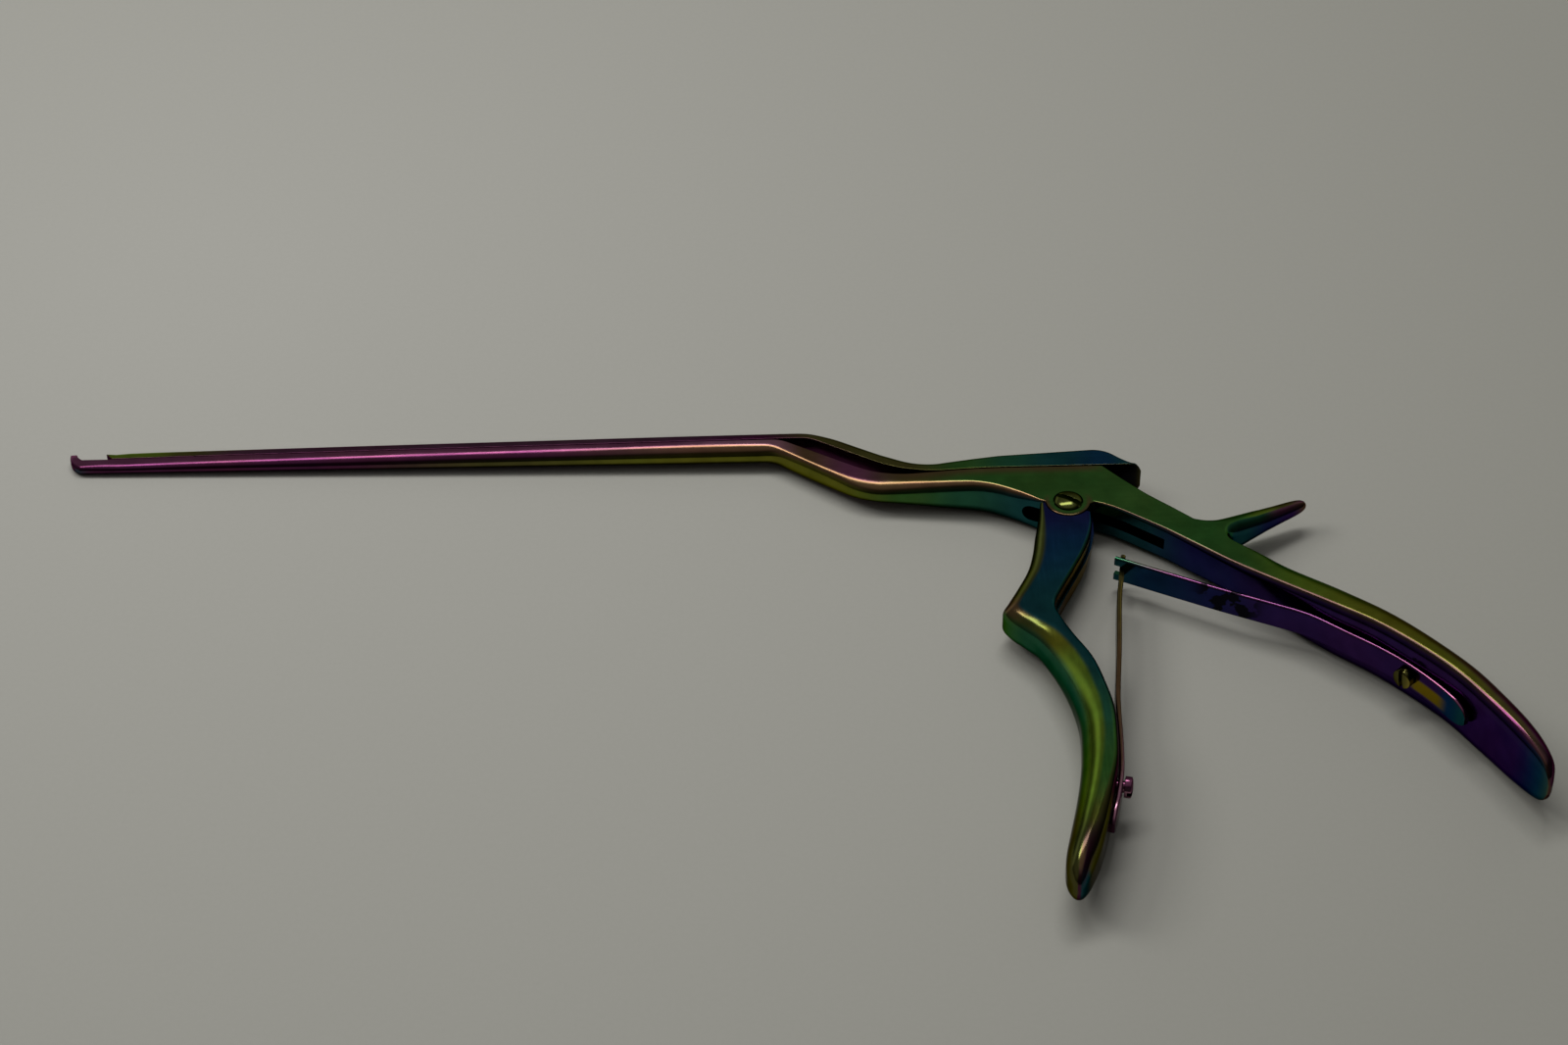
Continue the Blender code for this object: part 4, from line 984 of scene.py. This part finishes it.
pivotScrewValues = {"rise": 0.9, "side": 0.5, "slotAngle": -32.0}
seat = halfBody - 0.8 + gap
pivotScrew = slottedScrew("pivotScrew", upright(0.0, 0.0), shared["screwHead"], seat,
                          pivotScrewValues["side"],
                          halfBody + pivotScrewValues["rise"] - seat - pivotScrewValues["side"],
                          shared["screwShank"], -halfBody + 0.15, pivotScrewValues["slotAngle"])
layDown(pivotScrew, pivotScrewFilm, "frame", "pivot_screw")


def springScrew(name, place, slotAngle, material, body, node):
    values = springValues
    solid = slottedScrew(name, place, values["screwHead"], shared["leaf"] / 2 + gap,
                         0.75 * values["headHeight"], 0.25 * values["headHeight"],
                         values["screwShank"], -values["screwDepth"], slotAngle)
    return layDown(solid, material, body, node)


springScrew("rearLeafScrew", rearScrewPlace, 10.0, rearScrewFilm, "frame", "rear_spring_screw")
springScrew("frontLeafScrew", frontScrewPlace, 90.0, frontScrewFilm, "front_handle",
            "front_spring_screw")
print("screws made")


# Leaf springs: one swept strip each, hooked together by a fork and a tee

def makeLeafTree():
    # Sweeps a rounded strip along a polyline and narrows it towards its far end.
    tree = bpy.data.node_groups.new("leafStrip", "GeometryNodeTree")
    socket(tree, "Geometry", "NodeSocketGeometry")
    socket(tree, "Thickness", "NodeSocketFloat", value=0.0009)
    socket(tree, "Width", "NodeSocketFloat", value=0.006)
    socket(tree, "Edge Radius", "NodeSocketFloat", value=0.00012)
    socket(tree, "Taper Start", "NodeSocketFloat", value=0.9)
    socket(tree, "End Width", "NodeSocketFloat", value=0.7)
    socket(tree, "Material", "NodeSocketMaterial")
    socket(tree, "Geometry", "NodeSocketGeometry", "OUTPUT")
    make, link = tree.nodes.new, tree.links.new
    start, end = make("NodeGroupInput"), make("NodeGroupOutput")
    toCurve = make("GeometryNodeMeshToCurve")
    link(start.outputs["Geometry"], toCurve.inputs[0])
    run = make("GeometryNodeSplineParameter")
    keep = make("GeometryNodeCaptureAttribute")
    keep.capture_items.new("FLOAT", "run")
    link(toCurve.outputs[0], keep.inputs[0])
    link(run.outputs["Factor"], keep.inputs[1])
    upwards = make("GeometryNodeSetCurveNormal")
    upwards.mode = "Z_UP"
    link(keep.outputs[0], upwards.inputs[0])
    strip = make("GeometryNodeCurvePrimitiveQuadrilateral")
    link(start.outputs["Width"], strip.inputs["Height"])
    link(start.outputs["Thickness"], strip.inputs["Width"])
    rounded = make("GeometryNodeFilletCurve")
    rounded.mode = "POLY"
    rounded.inputs["Count"].default_value = 5
    link(strip.outputs[0], rounded.inputs["Curve"])
    link(start.outputs["Edge Radius"], rounded.inputs["Radius"])
    sweep = make("GeometryNodeCurveToMesh")
    sweep.inputs["Fill Caps"].default_value = True
    link(upwards.outputs[0], sweep.inputs["Curve"])
    link(rounded.outputs[0], sweep.inputs["Profile Curve"])
    narrow = make("ShaderNodeMapRange")
    link(keep.outputs[1], narrow.inputs["Value"])
    link(start.outputs["Taper Start"], narrow.inputs["From Min"])
    # the end's outline is part of an ellipse: width = sqrt(1 - t * t * (1 - end * end))
    round2 = math2(tree, "POWER", narrow.outputs["Result"], 2.0)
    drop = math2(tree, "SUBTRACT", 1.0, math2(tree, "POWER", start.outputs["End Width"], 2.0))
    factor = math2(tree, "SQRT", math2(tree, "SUBTRACT", 1.0,
                                       math2(tree, "MULTIPLY", round2, drop)), 0.0)
    here = make("GeometryNodeInputPosition")
    apart = make("ShaderNodeSeparateXYZ")
    link(here.outputs[0], apart.inputs[0])
    lift = make("ShaderNodeMath")
    lift.operation = "MULTIPLY"
    link(apart.outputs["Z"], lift.inputs[0])
    link(factor, lift.inputs[1])
    back = make("ShaderNodeCombineXYZ")
    link(apart.outputs["X"], back.inputs["X"])
    link(apart.outputs["Y"], back.inputs["Y"])
    link(lift.outputs[0], back.inputs["Z"])
    shape = make("GeometryNodeSetPosition")
    link(sweep.outputs[0], shape.inputs["Geometry"])
    link(back.outputs[0], shape.inputs["Position"])
    whole = make("GeometryNodeRealizeInstances")
    link(shape.outputs[0], whole.inputs[0])
    painted = make("GeometryNodeSetMaterial")
    link(whole.outputs[0], painted.inputs["Geometry"])
    link(start.outputs["Material"], painted.inputs["Material"])
    link(painted.outputs[0], end.inputs[0])
    return tree


leafTree = makeLeafTree()


def leafStrip(name, line, width, taperStart, endWidth, material):
    points = between(line, 8)
    mesh = bpy.data.meshes.new(name)
    mesh.from_pydata([(x * 0.001, y * 0.001, 0.0) for x, y in points],
                     [(k, k + 1) for k in range(len(points) - 1)], [])
    strip = bpy.data.objects.new(name, mesh)
    bpy.context.scene.collection.objects.link(strip)
    modifier = strip.modifiers.new("sweep", "NODES")
    modifier.node_group = leafTree
    values = {"Thickness": shared["leaf"] * 0.001, "Width": width * 0.001,
              "Edge Radius": 0.43 * shared["leaf"] * 0.001, "Taper Start": taperStart,
              "End Width": endWidth, "Material": material}
    for item in leafTree.interface.items_tree:
        if item.in_out == "INPUT" and item.name in values:
            modifier[item.identifier] = values[item.name]
    applied(strip)
    build = bmesh.new()
    build.from_mesh(strip.data)
    bmesh.ops.remove_doubles(build, verts=build.verts, dist=0.000001)
    bmesh.ops.recalc_face_normals(build, faces=build.faces)
    build.to_mesh(strip.data)
    build.free()
    return strip


def makeRearLeaf(values):
    line = values["rearLine"]
    strip = leafStrip("rearLeaf", line, values["rearWidth"], 0.94, 0.3, rearSpringFilm)
    tip = Vector(line[0])
    ahead = (Vector(line[1]) - tip).normalized()
    turn = Matrix.Rotation(math.atan2(ahead.y, ahead.x), 4, "Z")
    fork = block("forkGap", Matrix.Translation((tip.x, tip.y, 0.0)) @ turn,
                 (2 * values["prongDepth"], 4.0, values["prongGap"]))
    combine(strip, [fork, springBore(rearScrewPlace)], "DIFFERENCE")
    layDown(strip, rearSpringFilm, None, "rear_spring")
    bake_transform(strip)
    return strip


def makeFrontLeaf(values):
    line = values["frontLine"]
    strip = leafStrip("frontLeaf", line, values["frontWidth"], 0.94, 0.4, frontSpringFilm)
    head, ahead = Vector(line[0]), Vector(line[2])
    direction = (ahead - head).normalized()
    middle = head + direction * 4.55
    turn = Matrix.Rotation(math.atan2(direction.y, direction.x), 4, "Z")
    cutters = [block("neckCut", Matrix.Translation((middle.x, middle.y, side * 3.3)) @ turn,
                     (7.4, 4.0, 5.0)) for side in (-1, 1)]
    combine(strip, cutters + [springBore(frontScrewPlace)], "DIFFERENCE")
    layDown(strip, frontSpringFilm, None, "front_spring")
    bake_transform(strip)
    return strip


makeRearLeaf(springValues)
makeFrontLeaf(springValues)
print("springs made")


# Table, light and camera

# the spot and the far colour paint a pool of light on the top: full colour at the spot, falling to
# the far factor away from it
tableValues = {"light": (0.462, 0.462, 0.445), "dark": (0.44, 0.44, 0.42), "size": 3.0,
               "far": (0.80, 0.80, 0.775), "paintedLightSpot": (-0.13, 0.13)}


def makeTable(values):
    size = values["size"]
    mesh = bpy.data.meshes.new("tabletop")
    mesh.from_pydata([(-size, -size, 0), (size, -size, 0), (size, size, 0), (-size, size, 0)],
                     [], [(0, 1, 2, 3)])
    table = bpy.data.objects.new("tabletop", mesh)
    bpy.context.scene.collection.objects.link(table)
    material = bpy.data.materials.new("paleTabletop")
    material.use_nodes = True
    tree = material.node_tree
    shader = tree.nodes["Principled BSDF"]
    shader.inputs["Roughness"].default_value = 0.55
    place = tree.nodes.new("ShaderNodeTexCoord")
    noise = tree.nodes.new("ShaderNodeTexNoise")
    noise.inputs["Scale"].default_value = 900.0
    noise.inputs["Detail"].default_value = 4.0
    tree.links.new(place.outputs["Object"], noise.inputs["Vector"])
    pale = mixColour(tree, noise.outputs[0], (*values["light"], 1), (*values["dark"], 1))
    # painted light: the top's colour is darker away from a painted bright spot, most of all to the
    # right, standing in for uneven lighting
    away = tree.nodes.new("ShaderNodeVectorMath")
    away.operation = "DISTANCE"
    tree.links.new(place.outputs["Object"], away.inputs[0])
    away.inputs[1].default_value = (*values["paintedLightSpot"], 0.0)
    paintedLightFalloff = mixColour(tree, mapRange(tree, away.outputs["Value"], 0.02, 0.34),
                        (1.0, 1.0, 1.0, 1.0), (*values["far"], 1.0))
    shaded = tree.nodes.new("ShaderNodeVectorMath")
    shaded.operation = "MULTIPLY"
    tree.links.new(pale, shaded.inputs[0])
    tree.links.new(paintedLightFalloff, shaded.inputs[1])
    tree.links.new(shaded.outputs[0], shader.inputs["Base Color"])
    bump = tree.nodes.new("ShaderNodeBump")
    bump.inputs["Strength"].default_value = 0.05
    bump.inputs["Distance"].default_value = 0.0001
    tree.links.new(noise.outputs[0], bump.inputs["Height"])
    tree.links.new(bump.outputs[0], shader.inputs["Normal"])
    mesh.materials.append(material)


lightValues = {
    "panelPlace": (-0.11, 0.44, 0.95), "panelAim": (0.0, 0.03, 0.0), "panelSize": (0.82, 0.22),
    "panelPower": 4.2, "sidePlace": (-0.95, 0.35, 0.9), "sideSize": 0.5, "sidePower": 5.0,
    "zenith": 0.42, "middle": 0.19, "horizon": 0.08, "nearSide": 0.2,
    "farLeft": 0.42, "farRight": 0.16,
    "warmth": (1.0, 0.985, 0.93),
}


def areaLight(name, place, size, power, colour, glossy):
    lamp = bpy.data.lights.new(name, "AREA")
    lamp.shape = "RECTANGLE"
    lamp.size, lamp.size_y = size
    lamp.energy = power
    lamp.color = colour
    panel = bpy.data.objects.new(name, lamp)
    panel.location = place
    aim = Vector(lightValues["panelAim"]) - Vector(place)
    panel.rotation_euler = aim.to_track_quat("-Z", "Y").to_euler()
    panel.visible_glossy = glossy
    bpy.context.scene.collection.objects.link(panel)


def makeLight(values):
    areaLight("ceilingPanel", values["panelPlace"], values["panelSize"], values["panelPower"],
              values["warmth"], True)
    areaLight("sideFill", values["sidePlace"], (values["sideSize"], values["sideSize"]),
              values["sidePower"], values["warmth"], False)
    world = bpy.data.worlds.new("room")
    bpy.context.scene.world = world
    world.use_nodes = True
    tree = world.node_tree
    place = tree.nodes.new("ShaderNodeTexCoord")
    parts = tree.nodes.new("ShaderNodeSeparateXYZ")
    tree.links.new(place.outputs["Generated"], parts.inputs[0])
    low = mapRange(tree, parts.outputs["Z"], 0.0, 0.6, values["horizon"], values["middle"], True)
    high = mapRange(tree, parts.outputs["Z"], 0.75, 0.98, 0.0,
                    values["zenith"] - values["middle"], True)
    # the room is darkest on the near side and brightest on the far left
    far = math2(tree, "SUBTRACT", math2(tree, "MULTIPLY", parts.outputs["Y"], 0.8),
                math2(tree, "MULTIPLY", parts.outputs["X"], 0.6))
    low = math2(tree, "MULTIPLY", low, mapRange(tree, far, -0.55, 0.45, values["nearSide"], 1.0,
                                                True))
    glow = math2(tree, "MULTIPLY", mapRange(tree, far, 0.79, 0.90, 0.0, values["farLeft"], True),
                 mapRange(tree, far, 0.985, 0.92, 0.0, 1.0, True))
    side = math2(tree, "MULTIPLY", mapRange(tree, parts.outputs["X"], 0.2, 0.5, 0.0,
                                            values["farRight"], True),
                 mapRange(tree, parts.outputs["Y"], 0.5, 0.7, 0.0, 1.0, True))
    low = math2(tree, "ADD", low, math2(tree, "ADD", glow, side))
    tint = tree.nodes.new("ShaderNodeVectorMath")
    tint.operation = "SCALE"
    tint.inputs[0].default_value = values["warmth"]
    tree.links.new(math2(tree, "ADD", low, high), tint.inputs["Scale"])
    tree.links.new(tint.outputs[0], tree.nodes["Background"].inputs["Color"])


# The camera stands on the handles' open side and looks down on the instrument.
cameraValues = {
    "place": (-0.00575, -0.46972, 0.48001), "yaw": 1.07, "elevation": 43.0,
    "focalPixels": 3300.0, "imageWidth": 1600.0,
}


def makeCamera(values):
    yaw, rise = math.radians(values["yaw"]), math.radians(values["elevation"])
    right = Vector((math.cos(yaw), -math.sin(yaw), 0.0))
    away = Vector((math.sin(yaw), math.cos(yaw), 0.0))
    forward = away * math.cos(rise) - Vector((0.0, 0.0, math.sin(rise)))
    up = right.cross(forward)
    data = bpy.data.cameras.new("tableCamera")
    data.sensor_width = 36.0
    data.lens = values["focalPixels"] / values["imageWidth"] * 36.0
    data.clip_start = 0.01
    camera = bpy.data.objects.new("tableCamera", data)
    camera.matrix_world = (Matrix.Translation(values["place"])
                           @ Matrix((right, up, -forward)).transposed().to_4x4())
    bpy.context.scene.collection.objects.link(camera)
    bpy.context.scene.camera = camera


makeTable(tableValues)
makeLight(lightValues)
makeCamera(cameraValues)
bpy.context.scene.view_settings.view_transform = "Standard"
print("table, light and camera placed")
